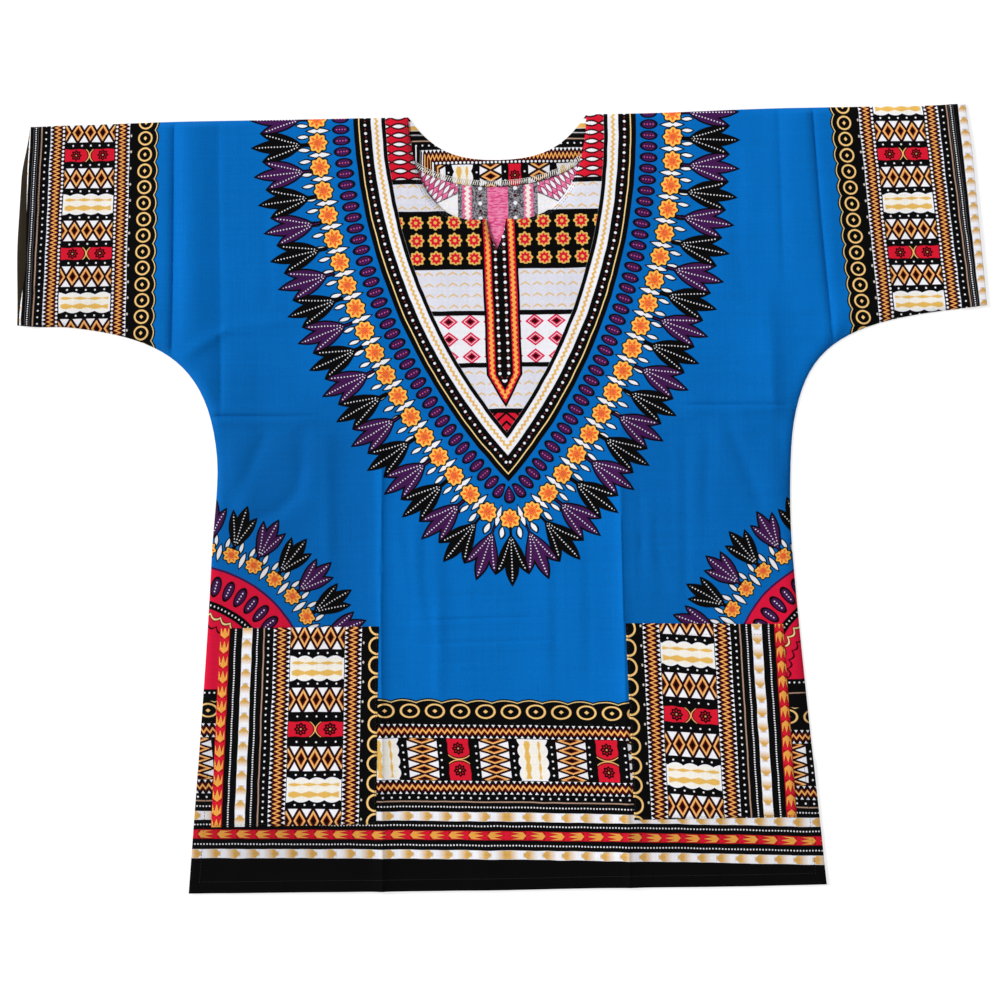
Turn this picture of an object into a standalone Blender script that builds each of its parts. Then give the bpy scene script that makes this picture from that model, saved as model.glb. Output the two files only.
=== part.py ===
"""A dashiki shirt laid flat on its back: front and back cut with the sleeves in one piece,
two patch pockets and a back neck facing.

Metres, +Z up. X runs across the shirt, Y up it towards the neck, and the origin is the middle
of the outline on the surface that the back lies on. The wearer's right side is at -X."""

import math

import bmesh
import bpy
import numpy as np
from mathutils import Vector
from mathutils.geometry import delaunay_2d_cdt, interpolate_bezier, intersect_line_line_2d

# Cloth
WALL = 0.0010  # thickness of every cloth wall
SEAM_GAP = 0.0003  # air between two pieces that lie on each other
FRONT_LIES_AT = WALL + SEAM_GAP  # underside of the front where it is sewn to the back

# The cut, which is the same for the front and the back
SHOULDER_Y = 0.387  # the shoulder line, level from neck to cuff
HEM_Y = -0.387
HEM_RISE = 0.0020  # the hem's corners sit this much above its middle
HEM_HALF = 0.319
WAIST_HALF = 0.2875  # the narrowest half width
WAIST_Y = 0.020
CUFF_TOP = 0.470  # half the span at the shoulder end of the cuff
CUFF_FOOT = 0.486  # and at its lower end
CUFF_FOOT_Y = 0.189
UNDERARM_X, UNDERARM_Y = 0.440, 0.184  # the curve under the arm starts here
SHORT_CUFF_TOP = 0.468  # the front's sleeve at -X is cut a little short,
SHORT_CUFF_FOOT = 0.475  # so that the back shows past it

# Necklines
NECK_HALF = 0.089  # half the neck's width on the shoulder line
NECK_SHIFT = 0.003  # the neck lies this much to +X of the slit
FRONT_NECK_DEPTH = 0.103
SLIT_HALF = 0.010  # half width of the neck slit at its mouth
SLIT_LENGTH = 0.031
BACK_NECK_DEPTH = 0.044
FACING_DEPTH = 0.0735  # depth of the facing's lower edge at the centre
FACING_SHOULDER = 0.123  # where that edge meets the shoulder line

# Each curve of the cut, on the +X side: the offset of its first handle from its start,
# and of its second handle from its end
BENDS = {
    "underarm": ((-0.104, -0.0125), (-0.0018, 0.124)),
    "side": ((0, -0.071), (-0.014, 0.155)),
    "front neck": ((-0.002, -0.067), (0.050, -0.007)),
    "slit": ((-0.001, -0.012), (0.004, 0.009)),
    "back neck": ((-0.022, -0.032), (0.045, 0)),
    "facing": ((-0.023, -0.052), (0.050, 0)),
}

# Patch pockets, as half-shirt sizes that are mirrored
POCKET_TOP_Y = -0.123
POCKET_FOOT_Y = -0.319
POCKET_TOP_INNER, POCKET_TOP_OUTER = 0.1235, 0.2800
POCKET_FOOT_INNER, POCKET_FOOT_OUTER = 0.1295, 0.2925
POCKET_EASE = 0.0005  # how far a pocket's middle stands off the front
POCKET_EASE_FADE = 0.2  # share of its depth over which that fades to the foot
MOUTH_GAPE = 0.0011  # how far its mouth stands off, on top of that
MOUTH_GAPE_DEPTH = 0.045

# How the front lies on the back
LOFT = 0.0010  # height that the front gains away from its seams
LOFT_REACH = 0.022
NECK_LIFT = WALL + SEAM_GAP  # the front rides over the facing round the neck
NECK_LIFT_FLAT, NECK_LIFT_FADE = 0.048, 0.045
BILLOW = 0.0003  # slow waves all over
BILLOW_ACROSS, BILLOW_ALONG, BILLOW_SLANT = 0.23, 0.31, 0.3

# Packing folds pressed into the front, one a row. A rise below 0 is a trough,
# and a fold that runs off the cloth ends beyond its edge.
OFF_EDGE = 0.400
FOLDS = [
    # name, (x, y) of one end, (x, y) of the other, rise, half width
    ("body_right", (-0.122, 0.255), (-0.126, -OFF_EDGE), 0.0013, 0.010),
    ("body_left", (0.121, 0.250), (0.127, -OFF_EDGE), 0.0012, 0.010),
    ("sleeve_right", (-0.317, OFF_EDGE), (-0.327, 0.140), -0.0009, 0.008),
    ("sleeve_left", (0.324, OFF_EDGE), (0.334, 0.150), -0.0009, 0.008),
    ("chest_right", (-0.287, 0.078), (-0.190, 0.076), 0.0007, 0.007),
    ("chest_left", (0.180, 0.085), (0.288, 0.087), 0.0007, 0.007),
    ("shoulder_right", (-0.272, OFF_EDGE), (-0.268, 0.200), 0.0005, 0.012),
]
FOLD_SHARPNESS = 1.4  # how far its profile has fallen at its half width

# Net of points that the front and the pockets share
NET_STEP = 0.024
CURVE_STEP = 0.011
STRAIGHT_STEP = 0.022
EDGE_CLEARANCE = 0.004  # points that a fold adds are this far from an outline's own
NET_CLEARANCE = 0.55  # share of a net step kept free beside an outline or a fold
NET_HALF_WIDTH, NET_HALF_HEIGHT = 0.50, 0.40

BLUE_GROUND = (0.0, 0.16, 0.52, 1)
DARK_BORDER = (0.02, 0.015, 0.02, 1)
FACING_PRINT = (0.45, 0.20, 0.07, 1)


def clear_scene():
    for old in list(bpy.data.objects):
        bpy.data.objects.remove(old, do_unlink=True)


def cotton(name, colour):
    """Printed cotton: a dull cloth of one colour."""
    made = bpy.data.materials.new(name)
    made.use_nodes = True
    shader = made.node_tree.nodes["Principled BSDF"]
    shader.inputs["Base Color"].default_value = colour
    shader.inputs["Roughness"].default_value = 0.85
    shader.inputs["Metallic"].default_value = 0.0
    made.diffuse_color = colour
    return made


def straight(start, end):
    """Points from start up to, but without, end."""
    a, b = Vector(start), Vector(end)
    count = max(1, round((b - a).length / STRAIGHT_STEP))
    return [a.lerp(b, i / count) for i in range(count)]


def bend(name, start, end, side=1, step=CURVE_STEP):
    """Points along one of the BENDS, without its end. side is +1 or -1 along X."""
    first, second = [Vector((x * side, y)) for x, y in BENDS[name]]
    rough = interpolate_bezier(start, start + first, end + second, end, 60)
    length = sum((b - a).length for a, b in zip(rough, rough[1:]))
    count = max(2, round(length / step))
    return list(interpolate_bezier(start, start + first, end + second, end, count + 1))[:-1]


def mirrored(points):
    return [Vector((-p.x, p.y)) for p in reversed(points)]


def closed_pairs(outline):
    return list(zip(outline, outline[1:] + outline[:1]))


def neck_corner(side):
    """Where the neck meets the shoulder line, on side +1 or -1 along X."""
    return Vector((NECK_HALF * side + NECK_SHIFT, SHOULDER_Y))


def half_cut(neck_x, cuff_top, cuff_foot):
    """Outline of the +X half, from the neck along the shoulder and down to the hem's middle."""
    cuff_start = Vector((cuff_top, SHOULDER_Y))
    cuff_end = Vector((cuff_foot, CUFF_FOOT_Y))
    underarm = Vector((UNDERARM_X, UNDERARM_Y))
    waist = Vector((WAIST_HALF, WAIST_Y))
    corner = Vector((HEM_HALF, HEM_Y + HEM_RISE))
    centre = Vector((0, HEM_Y))
    points = straight((neck_x, SHOULDER_Y), cuff_start)
    points += straight(cuff_start, cuff_end)
    points += straight(cuff_end, underarm)
    points += bend("underarm", underarm, waist)
    points += bend("side", waist, corner, step=STRAIGHT_STEP)
    return points + straight(corner, centre) + [centre]


def cut_outline(right_cuff_top, right_cuff_foot, neckline):
    """Outline of a whole front or back. The wearer's right cuff, at -X, may be short."""
    left = half_cut(NECK_HALF + NECK_SHIFT, CUFF_TOP, CUFF_FOOT)
    right = half_cut(NECK_HALF - NECK_SHIFT, right_cuff_top, right_cuff_foot)
    return left + mirrored(right)[1:] + neckline


def front_neckline():
    """From the neck at -X down to the slit's foot and up to the neck at +X, without its ends."""
    foot = Vector((0, SHOULDER_Y - FRONT_NECK_DEPTH - SLIT_LENGTH))
    halves = {}
    for side in (-1, 1):
        mouth = Vector((SLIT_HALF * side, SHOULDER_Y - FRONT_NECK_DEPTH))
        halves[side] = bend("front neck", neck_corner(side), mouth, side)
        halves[side] += bend("slit", mouth, foot, side)
    return halves[-1][1:] + [foot] + halves[1][:0:-1]


def back_neckline():
    """From the neck at -X round to the neck at +X, without its ends."""
    low = Vector((NECK_SHIFT, SHOULDER_Y - BACK_NECK_DEPTH))
    halves = {side: bend("back neck", neck_corner(side), low, side) for side in (-1, 1)}
    return halves[-1][1:] + [low] + halves[1][:0:-1]


def front_outline():
    return cut_outline(SHORT_CUFF_TOP, SHORT_CUFF_FOOT, front_neckline())


def back_outline():
    return cut_outline(CUFF_TOP, CUFF_FOOT, back_neckline())


def facing_outline():
    """A strip that follows the back neck, from shoulder line to shoulder line."""
    low = Vector((0, SHOULDER_Y - FACING_DEPTH))
    half = bend("facing", Vector((FACING_SHOULDER, SHOULDER_Y)), low)
    lower_edge = half + [low] + mirrored(half)
    return lower_edge + [neck_corner(-1)] + back_neckline() + [neck_corner(1)]


def pocket_outline(side):
    """A patch pocket's edge. side is +1 or -1 along X."""
    corners = [
        Vector((POCKET_TOP_INNER * side, POCKET_TOP_Y)),
        Vector((POCKET_FOOT_INNER * side, POCKET_FOOT_Y)),
        Vector((POCKET_FOOT_OUTER * side, POCKET_FOOT_Y)),
        Vector((POCKET_TOP_OUTER * side, POCKET_TOP_Y)),
    ]
    return [p for a, b in closed_pairs(corners) for p in straight(a, b)]


def fold_rows():
    """The ends of the line along each fold's crest and along both its feet."""
    rows = []
    for _, start, end, _, half_width in FOLDS:
        a, b = Vector(start), Vector(end)
        aside = (b - a).orthogonal().normalized() * half_width
        rows += [(a + offset, b + offset) for offset in (-aside, Vector((0, 0)), aside)]
    return rows


def split_by_folds(outline):
    """The outline, anticlockwise, with a point added wherever a fold's row crosses it."""
    if sum(a.cross(b) for a, b in closed_pairs(outline)) < 0:
        outline = outline[::-1]
    points = []
    for a, b in closed_pairs(outline):
        met = [intersect_line_line_2d(a, b, *row) for row in fold_rows()]
        met = [p for p in met if p and min((p - a).length, (p - b).length) > EDGE_CLEARANCE]
        points += [a] + sorted(met, key=lambda p: (p - a).length)
    return points


def inside(point, outline):
    """Whether point lies inside the closed outline, by counting the edges to its right."""
    odd = False
    for a, b in closed_pairs(outline):
        if (a.y > point.y) != (b.y > point.y):
            if point.x < a.x + (point.y - a.y) / (b.y - a.y) * (b.x - a.x):
                odd = not odd
    return odd


def as_places(points):
    return np.array([p[:] for p in points])


def line_distance(line, places):
    """Distance from each row of places to the open line through these points."""
    points = as_places(line)
    best = np.full(len(places), np.inf)
    for start, step in zip(points, np.diff(points, axis=0)):
        along = np.clip(((places - start) @ step) / (step @ step), 0, 1)
        best = np.minimum(best, np.hypot(*(places - start - along[:, None] * step).T))
    return best


def fold_points(outlines):
    """Points along the folds' rows, on the front and clear of every outline."""
    found = [p for row in fold_rows() for p in straight(*row) if inside(p, outlines[0])]
    for outline in outlines:
        away = line_distance(outline + outline[:1], as_places(found))
        found = [p for p, distance in zip(found, away) if distance > EDGE_CLEARANCE]
    return found


def net_points(fixed, outline):
    """Staggered rows of points inside the outline, clear of the fixed points."""
    taken = as_places(fixed)
    row_step = NET_STEP * math.sqrt(3) / 2
    rows = math.ceil(NET_HALF_HEIGHT / row_step)
    columns = math.ceil(NET_HALF_WIDTH / NET_STEP)
    found = []
    for row in range(-rows, rows + 1):
        shift = NET_STEP / 2 * (row % 2)
        for column in range(-columns, columns + 1):
            point = Vector((column * NET_STEP + shift, row * row_step))
            nearest = np.hypot(*(taken - point).T).min()
            if nearest > NET_CLEARANCE * NET_STEP and inside(point, outline):
                found.append(point)
    return found


def smooth(t):
    """0 to 1 as t goes from 0 to 1, level at both ends."""
    t = np.clip(t, 0, 1)
    return t * t * (3 - 2 * t)


def seam_distance(places):
    """Distance from each place to the shoulder, underarm or side seam nearest to it."""
    outline = half_cut(NECK_HALF + NECK_SHIFT, CUFF_TOP, CUFF_FOOT)
    shoulder = [p for p in outline if p.y > SHOULDER_Y - WALL]
    below_cuff = [p for p in outline if p.y < CUFF_FOOT_Y + WALL]
    side = [p for p in below_cuff if p.y > HEM_Y + HEM_RISE - WALL / 2]
    folded = np.stack([np.abs(places[:, 0]), places[:, 1]], 1)
    return np.minimum(line_distance(shoulder, folded), line_distance(side, folded))


def front_lift(places):
    """How far the front stands above where it is sewn to the back."""
    seam = seam_distance(places)
    loose = smooth(seam / (2 * LOFT_REACH))
    across = places[:, 0] / BILLOW_ACROSS * math.tau
    along = (places[:, 1] + BILLOW_SLANT * places[:, 0]) / BILLOW_ALONG * math.tau
    lift = LOFT * (1 - np.exp(-seam / LOFT_REACH))
    lift += BILLOW * np.sin(across) * np.cos(along) * loose
    for _, start, end, rise, half_width in FOLDS:
        away = line_distance([Vector(start), Vector(end)], places)
        lift += rise * np.exp(-((FOLD_SHARPNESS * away / half_width) ** 2)) * loose
    neck = [neck_corner(-1), *front_neckline(), neck_corner(1)]
    beyond = (line_distance(neck, places) - NECK_LIFT_FLAT) / NECK_LIFT_FADE
    return np.maximum(lift, 0) + NECK_LIFT * (1 - smooth(beyond))


def pocket_stand_off(places):
    """How far a pocket stands above the front, beyond the gap at its sewn edges."""
    side = np.abs(places[:, 0])
    down = POCKET_TOP_Y - places[:, 1]
    share = np.clip(down / (POCKET_TOP_Y - POCKET_FOOT_Y), 0, 1)
    inner = POCKET_TOP_INNER + share * (POCKET_FOOT_INNER - POCKET_TOP_INNER)
    outer = POCKET_TOP_OUTER + share * (POCKET_FOOT_OUTER - POCKET_TOP_OUTER)
    across = np.sin(np.pi * np.clip((side - inner) / (outer - inner), 0, 1))
    ease = POCKET_EASE * smooth((1 - share) / POCKET_EASE_FADE)
    gape = MOUTH_GAPE * (1 - smooth(down / MOUTH_GAPE_DEPTH))
    return across * (ease + gape)


def link(name, data, material, collection):
    made = bpy.data.objects.new(name, data)
    data.materials.append(material)
    collection.objects.link(made)
    return made


def net_piece(name, places, triangles, undersides, material, collection):
    """A cloth wall over these triangles of the net, standing on the given undersides."""
    bm = bmesh.new()
    made = {}
    for i in sorted({i for triangle in triangles for i in triangle}):
        made[i] = bm.verts.new((*places[i], undersides[i]))
    for triangle in triangles:
        bm.faces.new([made[i] for i in triangle])
    mesh = bpy.data.meshes.new(name)
    bm.to_mesh(mesh)
    bm.free()
    mesh.shade_smooth()
    piece = link(name, mesh, material, collection)
    wall = piece.modifiers.new("cloth wall", "SOLIDIFY")
    wall.thickness = WALL
    wall.offset = 1.0
    return piece


def flat_piece(name, outline, underside, material, collection):
    """A flat cloth wall with this outline."""
    data = bpy.data.curves.new(name, "CURVE")
    data.dimensions = "2D"
    data.fill_mode = "BOTH"
    data.extrude = WALL / 2
    spline = data.splines.new("POLY")
    spline.points.add(len(outline) - 1)
    for place, point in zip(spline.points, outline):
        place.co = (point.x, point.y, 0, 1)
    spline.use_cyclic_u = True
    piece = link(name, data, material, collection)
    piece.location.z = underside + WALL / 2
    return piece


def build_back(collection, material):
    return flat_piece("back", back_outline(), 0, material, collection)


def build_facing(collection, material):
    return flat_piece("back_neck_facing", facing_outline(), FRONT_LIES_AT, material, collection)


def build_front_and_pockets(collection, front_material, pocket_material):
    """The front and its pockets share one net, so each pocket follows the front point by point."""
    names = ["front", "pocket_right", "pocket_left"]
    loops = [front_outline(), pocket_outline(-1), pocket_outline(1)]
    loops = [split_by_folds(loop) for loop in loops]
    starts = np.cumsum([0] + [len(loop) for loop in loops])
    faces = [list(range(a, b)) for a, b in zip(starts, starts[1:])]
    fixed = [p for loop in loops for p in loop] + fold_points(loops)
    net = delaunay_2d_cdt(fixed + net_points(fixed, loops[0]), [], faces, 1, 1e-7)
    points, triangles, owners = net[0], net[2], net[5]
    places = as_places(points)
    front_underside = FRONT_LIES_AT + front_lift(places)
    pocket_underside = front_underside + WALL + SEAM_GAP + pocket_stand_off(places)
    undersides = [front_underside, pocket_underside, pocket_underside]
    materials = [front_material, pocket_material, pocket_material]
    for number, name in enumerate(names):
        mine = [t for t, owner in zip(triangles, owners) if number in owner]
        net_piece(name, places, mine, undersides[number], materials[number], collection)


def main():
    clear_scene()
    shirt = bpy.data.collections.new("dashiki_shirt")
    bpy.context.scene.collection.children.link(shirt)
    blue = cotton("printed cotton, blue ground", BLUE_GROUND)
    build_back(shirt, blue)
    build_facing(shirt, cotton("printed cotton, facing", FACING_PRINT))
    build_front_and_pockets(shirt, blue, cotton("printed cotton, dark border", DARK_BORDER))


main()
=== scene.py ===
import math

import bmesh
import bpy
from mathutils import Matrix, Vector, kdtree, noise
from mathutils.bvhtree import BVHTree


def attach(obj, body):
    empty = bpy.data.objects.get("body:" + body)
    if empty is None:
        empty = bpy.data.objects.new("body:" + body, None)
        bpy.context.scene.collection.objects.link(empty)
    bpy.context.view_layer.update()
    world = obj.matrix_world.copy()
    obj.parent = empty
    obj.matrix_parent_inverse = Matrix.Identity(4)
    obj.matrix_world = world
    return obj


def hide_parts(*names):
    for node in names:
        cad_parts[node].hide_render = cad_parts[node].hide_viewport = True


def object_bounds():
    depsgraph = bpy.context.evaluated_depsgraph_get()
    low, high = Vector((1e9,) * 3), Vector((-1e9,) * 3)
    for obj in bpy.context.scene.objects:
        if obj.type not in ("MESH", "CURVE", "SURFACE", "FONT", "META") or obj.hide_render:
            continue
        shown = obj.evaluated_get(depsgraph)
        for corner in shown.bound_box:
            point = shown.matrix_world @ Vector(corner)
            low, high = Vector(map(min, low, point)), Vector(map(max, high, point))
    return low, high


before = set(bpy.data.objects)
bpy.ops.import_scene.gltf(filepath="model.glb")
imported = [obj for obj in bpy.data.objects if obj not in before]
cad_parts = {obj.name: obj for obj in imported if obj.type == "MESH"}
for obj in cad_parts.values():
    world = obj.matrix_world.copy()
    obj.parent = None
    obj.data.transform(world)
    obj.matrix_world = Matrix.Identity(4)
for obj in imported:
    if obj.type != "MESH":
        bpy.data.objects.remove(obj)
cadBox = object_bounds()
mm = 0.001
print("frame loaded:", ", ".join(sorted(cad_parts)))


# ---- studio: camera over the shirt, pale floor, soft light from the left

studio = {
    "cameraHeight": 2.5025,
    "lens": 90,
    "sensor": 36,
    "centre": (-0.001, 0.003),
    "turn": -1.0,  # degrees; the shirt lies one degree off square
    "floorHalf": 6.0,
    "floorDrop": 0.0001,
    "floorParts": 8,
    "floorRoughness": 0.9,
    "floorGlow": 0.72,
    "sunStrength": 3.1,
    "sunTilt": (0, -52, -24),  # degrees
    "sunAngle": 22,
    "skyStrength": 0.385,
}


def makeCamera():
    camera = bpy.data.objects.new("camera", bpy.data.cameras.new("camera"))
    camera.data.lens = studio["lens"]
    camera.data.sensor_width = studio["sensor"]
    camera.location = (*studio["centre"], studio["cameraHeight"])
    camera.rotation_euler = (0, 0, math.radians(studio["turn"]))
    bpy.context.collection.objects.link(camera)
    bpy.context.scene.camera = camera


def makeLights():
    sun = bpy.data.objects.new("sun", bpy.data.lights.new("sun", "SUN"))
    sun.data.energy = studio["sunStrength"]
    sun.data.angle = math.radians(studio["sunAngle"])
    sun.rotation_euler = [math.radians(a) for a in studio["sunTilt"]]
    bpy.context.collection.objects.link(sun)
    world = bpy.data.worlds.new("studioSky")
    world.use_nodes = True
    sky = world.node_tree.nodes["Background"]
    sky.inputs["Color"].default_value = (1, 1, 1, 1)
    sky.inputs["Strength"].default_value = studio["skyStrength"]
    bpy.context.scene.world = world
    bpy.context.scene.view_settings.view_transform = "Standard"


# ---- dye: a material's nodes, written as expressions

class Strand:
    # one output of a dye's node; arithmetic on it adds Math nodes
    def __init__(self, dye, socket):
        self.dye = dye
        self.socket = socket

    def __add__(self, other):
        return self.dye.maths("ADD", self, other)

    def __radd__(self, other):
        return self.dye.maths("ADD", other, self)

    def __sub__(self, other):
        return self.dye.maths("SUBTRACT", self, other)

    def __rsub__(self, other):
        return self.dye.maths("SUBTRACT", other, self)

    def __mul__(self, other):
        return self.dye.maths("MULTIPLY", self, other)

    def __rmul__(self, other):
        return self.dye.maths("MULTIPLY", other, self)

    def __truediv__(self, other):
        return self.dye.maths("DIVIDE", self, other)

    def __mod__(self, other):
        return self.dye.maths("FLOORED_MODULO", self, other)

    def __lt__(self, other):
        return self.dye.maths("LESS_THAN", self, other)

    def __gt__(self, other):
        return self.dye.maths("GREATER_THAN", self, other)

    def __abs__(self):
        return self.dye.maths("ABSOLUTE", self)


class Dye:
    def __init__(self, name):
        self.material = bpy.data.materials.new(name)
        self.material.use_nodes = True
        self.tree = self.material.node_tree
        self.tree.nodes.clear()

    def node(self, kind, settings=(), inputs=()):
        made = self.tree.nodes.new(kind)
        for key, value in dict(settings).items():
            setattr(made, key, value)
        for key, value in dict(inputs).items():
            if isinstance(value, Strand):
                self.tree.links.new(value.socket, made.inputs[key])
            else:
                made.inputs[key].default_value = value
        return made

    def strand(self, kind, settings=(), inputs=(), output=0):
        return Strand(self, self.node(kind, settings, inputs).outputs[output])

    def maths(self, operation, *values, clamp=False):
        settings = {"operation": operation, "use_clamp": clamp}
        return self.strand("ShaderNodeMath", settings, enumerate(values))

    def place(self):
        return self.strand("ShaderNodeTexCoord", output="Object")

    def placeAndXY(self):
        # a place on the cloth, then its x and y in millimetres
        place = self.place()
        parts = self.node("ShaderNodeSeparateXYZ", inputs={0: place})
        return place, Strand(self, parts.outputs[0]) * 1000, Strand(self, parts.outputs[1]) * 1000

    def speckle(self, place, scale, detail, stretch=None):
        if stretch:
            place = self.strand("ShaderNodeMapping", inputs={"Vector": place, "Scale": stretch})
        inputs = {"Vector": place, "Scale": scale, "Detail": detail}
        return self.strand("ShaderNodeTexNoise", inputs=inputs)

    def surface(self, inputs):
        # ends the material in its one shader
        shader = self.strand("ShaderNodeBsdfPrincipled", inputs=inputs)
        self.node("ShaderNodeOutputMaterial", inputs={0: shader})
        return self.material

    def under(self, value, edge, soft=0.45):
        # 1 where value is under edge; soft is the width of the printed edge
        return self.maths("MULTIPLY_ADD", value, -1 / soft, edge / soft + 0.5, clamp=True)

    def over(self, value, edge, soft=0.45):
        return self.maths("MULTIPLY_ADD", value, 1 / soft, 0.5 - edge / soft, clamp=True)

    def band(self, value, low, high, soft=0.45):
        return self.under(abs(value - (low + high) / 2), (high - low) / 2, soft)

    def away(self, value, pitch, shift=0.0):
        # distance to the nearest of the lines that repeat every pitch
        if shift:
            value = value - shift
        return self.maths("PINGPONG", value, pitch / 2)

    def radius(self, a, b):
        return self.maths("SQRT", self.maths("MULTIPLY_ADD", a, a, b * b))

    def both(self, a, b):
        return self.maths("MULTIPLY", a, b)

    def larger(self, a, b):
        return self.maths("MAXIMUM", a, b)

    def smaller(self, a, b):
        return self.maths("MINIMUM", a, b)

    def paint(self, colour, ink, mask):
        return self.mix(colour, inks[ink], mask)

    def mix(self, a, b, mask, blend="MIX"):
        settings = {"data_type": "RGBA", "blend_type": blend, "clamp_factor": True}
        return self.strand("ShaderNodeMix", settings, {0: mask, 6: a, 7: b}, output=2)


def srgb(red, green, blue):
    def linear(value):
        value = value / 255
        return value / 12.92 if value <= 0.04045 else ((value + 0.055) / 1.055) ** 2.4

    return (linear(red), linear(green), linear(blue), 1)


inks = {
    "blue": srgb(2, 105, 187),
    "black": srgb(7, 6, 7),
    "white": srgb(240, 240, 246),
    "cream": srgb(242, 238, 228),
    "paleTip": srgb(252, 202, 138),
    "chalk": srgb(222, 223, 235),
    "silk": srgb(204, 204, 217),
    "gold": srgb(228, 182, 92),
    "paleGold": srgb(252, 218, 148),
    "honey": srgb(245, 200, 126),
    "marigold": srgb(238, 158, 76),
    "straw": srgb(219, 171, 90),
    "paleOrange": srgb(255, 190, 84),
    "peach": srgb(248, 186, 110),
    "amber": srgb(230, 166, 74),
    "ember": srgb(240, 96, 40),
    "rust": srgb(112, 44, 46),
    "crimson": srgb(226, 22, 62),
    "orange": srgb(248, 170, 80),
    "red": srgb(214, 24, 48),
    "brick": srgb(168, 14, 28),
    "maroon": srgb(66, 4, 8),
    "plum": srgb(30, 4, 8),
    "purple": srgb(66, 24, 78),
    "pink": srgb(222, 40, 92),
    "dusk": srgb(176, 144, 124),
    "mist": srgb(206, 198, 190),
    "fadedPink": srgb(226, 100, 152),
    "deepPink": srgb(216, 74, 132),
    "palePink": srgb(240, 140, 178),
    "fadedGrey": srgb(104, 102, 108),
    "paleGrey": srgb(152, 150, 156),
    "fadedBlack": srgb(58, 56, 62),
    "fadedBlue": srgb(92, 140, 186),
    "olive": srgb(46, 40, 30),
}


# ---- print motifs, each painted over the colour so far; sizes in millimetres

ladder = {
    # white block
    "inset": 0.3, "fillingIn": 1.7, "fillingSide": 2.2, "fillingSoft": 1.2,
    "thinAt": 0.42, "thinSwell": 0.20, "thickAt": 0.36, "thickSwell": 0.27,
    "thickMore": 0.08, "chainHalf": 0.03,
    # diamond block
    "tint": 0.4, "cornersFrom": 1.29, "ringTo": 0.86, "facetSoft": 0.07, "coreSoft": 0.10, "heart": 0.5,
    # red block
    "cushionSwell": 0.10, "gap": 2.0, "redIn": 0.4, "hourglass": (-0.2, 0.85),
    "roseAt": 0.53, "lobes": 8, "lobeDeep": -0.7, "seedRing": (0.45, 0.74), "seedSoft": 0.6,
    "lobeFrom": 0.2, "seedShare": 0.8, "eye": 0.16, "eyeShare": 0.7,
    # dots and zigzag borders
    "dotShift": -0.9, "dotsIn": 3, "shine": 0.6, "rimFrom": 0.4,
}


def ladderBand(dye, colour, across, along, plan):
    # white, diamond and red blocks between two zigzag borders; along is counted from a white block
    side = abs(across)
    half = plan["period"] / 2
    signed = (along + half) % plan["period"] - half
    step = abs(signed)
    inLadder = dye.under(side, plan["ladderHalf"] - ladder["inset"])
    bump = dye.away(across, plan["bump"], plan["bumpShift"])
    colour = dye.paint(colour, "black", dye.under(side, plan["ladderHalf"] + plan["zigzagWide"]))
    colour = whiteBlock(dye, colour, signed, step, side, bump, inLadder, plan)
    colour = diamondBlock(dye, colour, across, step, inLadder, plan)
    colour = redBlock(dye, colour, half - step, side, bump, inLadder, plan)
    # white dots on the black rows
    row = dye.smaller(abs(step - plan["dotRowA"]), abs(step - plan["dotRowB"]))
    dot = dye.radius(row, dye.away(across, plan["dotPitch"], ladder["dotShift"]))
    dots = dye.both(dye.under(dot, plan["dotSize"]), dye.under(side, plan["ladderHalf"] - ladder["dotsIn"]))
    colour = dye.paint(colour, "white", dots)
    offset = side - (plan["ladderHalf"] + plan["zigzagWide"] / 2)
    return zigzag(dye, colour, offset, along, plan)


def whiteBlock(dye, colour, signed, step, side, bump, inLadder, plan):
    # scalloped ends, and two chains of gold beads where the scallops meet
    half = plan["whiteHalf"]
    scallop = dye.maths("MULTIPLY_ADD", bump * bump, plan["scallop"], step)
    colour = dye.paint(colour, "white", dye.both(dye.under(scallop, half), inLadder))
    filling = dye.under(scallop, half - ladder["fillingIn"], ladder["fillingSoft"])
    inSide = dye.under(side, plan["ladderHalf"] - ladder["fillingSide"], ladder["fillingSoft"])
    filling = dye.both(filling, inSide)
    colour = dye.paint(colour, "cream", filling)
    thin = abs(signed - half * ladder["thinAt"]) - bump * ladder["thinSwell"]
    thick = abs(signed + half * ladder["thickAt"]) - bump * ladder["thickSwell"]
    chains = dye.smaller(thin, thick - half * ladder["thickMore"])
    return dye.paint(colour, "gold", dye.both(dye.under(chains, half * ladder["chainHalf"], 1.0), filling))


def diamondBlock(dye, colour, across, step, inLadder, plan):
    # gold rings round maroon, thick dark crossing lines, white corners
    soft = ladder["facetSoft"]
    lattice = dye.away(across, plan["diamondWide"]) * (2 / plan["diamondWide"])
    rise = abs(step - plan["diamondAt"])
    facet = dye.maths("MULTIPLY_ADD", rise, 1 / plan["diamondHalf"], lattice)
    block = dye.both(dye.under(rise, plan["diamondHalf"]), inLadder)
    colour = dye.paint(colour, "maroon", block * ladder["tint"])
    colour = dye.paint(colour, "white", dye.both(dye.over(facet, ladder["cornersFrom"], soft), block))
    tip = dye.maths("MULTIPLY_ADD", facet, 3.2, -1.9, clamp=True)
    gilt = dye.mix(inks["marigold"], inks["paleTip"], tip)
    colour = dye.mix(colour, gilt, dye.both(dye.under(facet, ladder["ringTo"], soft), block))
    core = dye.under(facet, plan["core"], ladder["coreSoft"])
    colour = dye.paint(colour, "maroon", dye.both(core, block))
    heart = dye.under(facet, plan["core"] * ladder["heart"], ladder["coreSoft"])
    return dye.paint(colour, "black", dye.both(heart, block))


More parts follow.
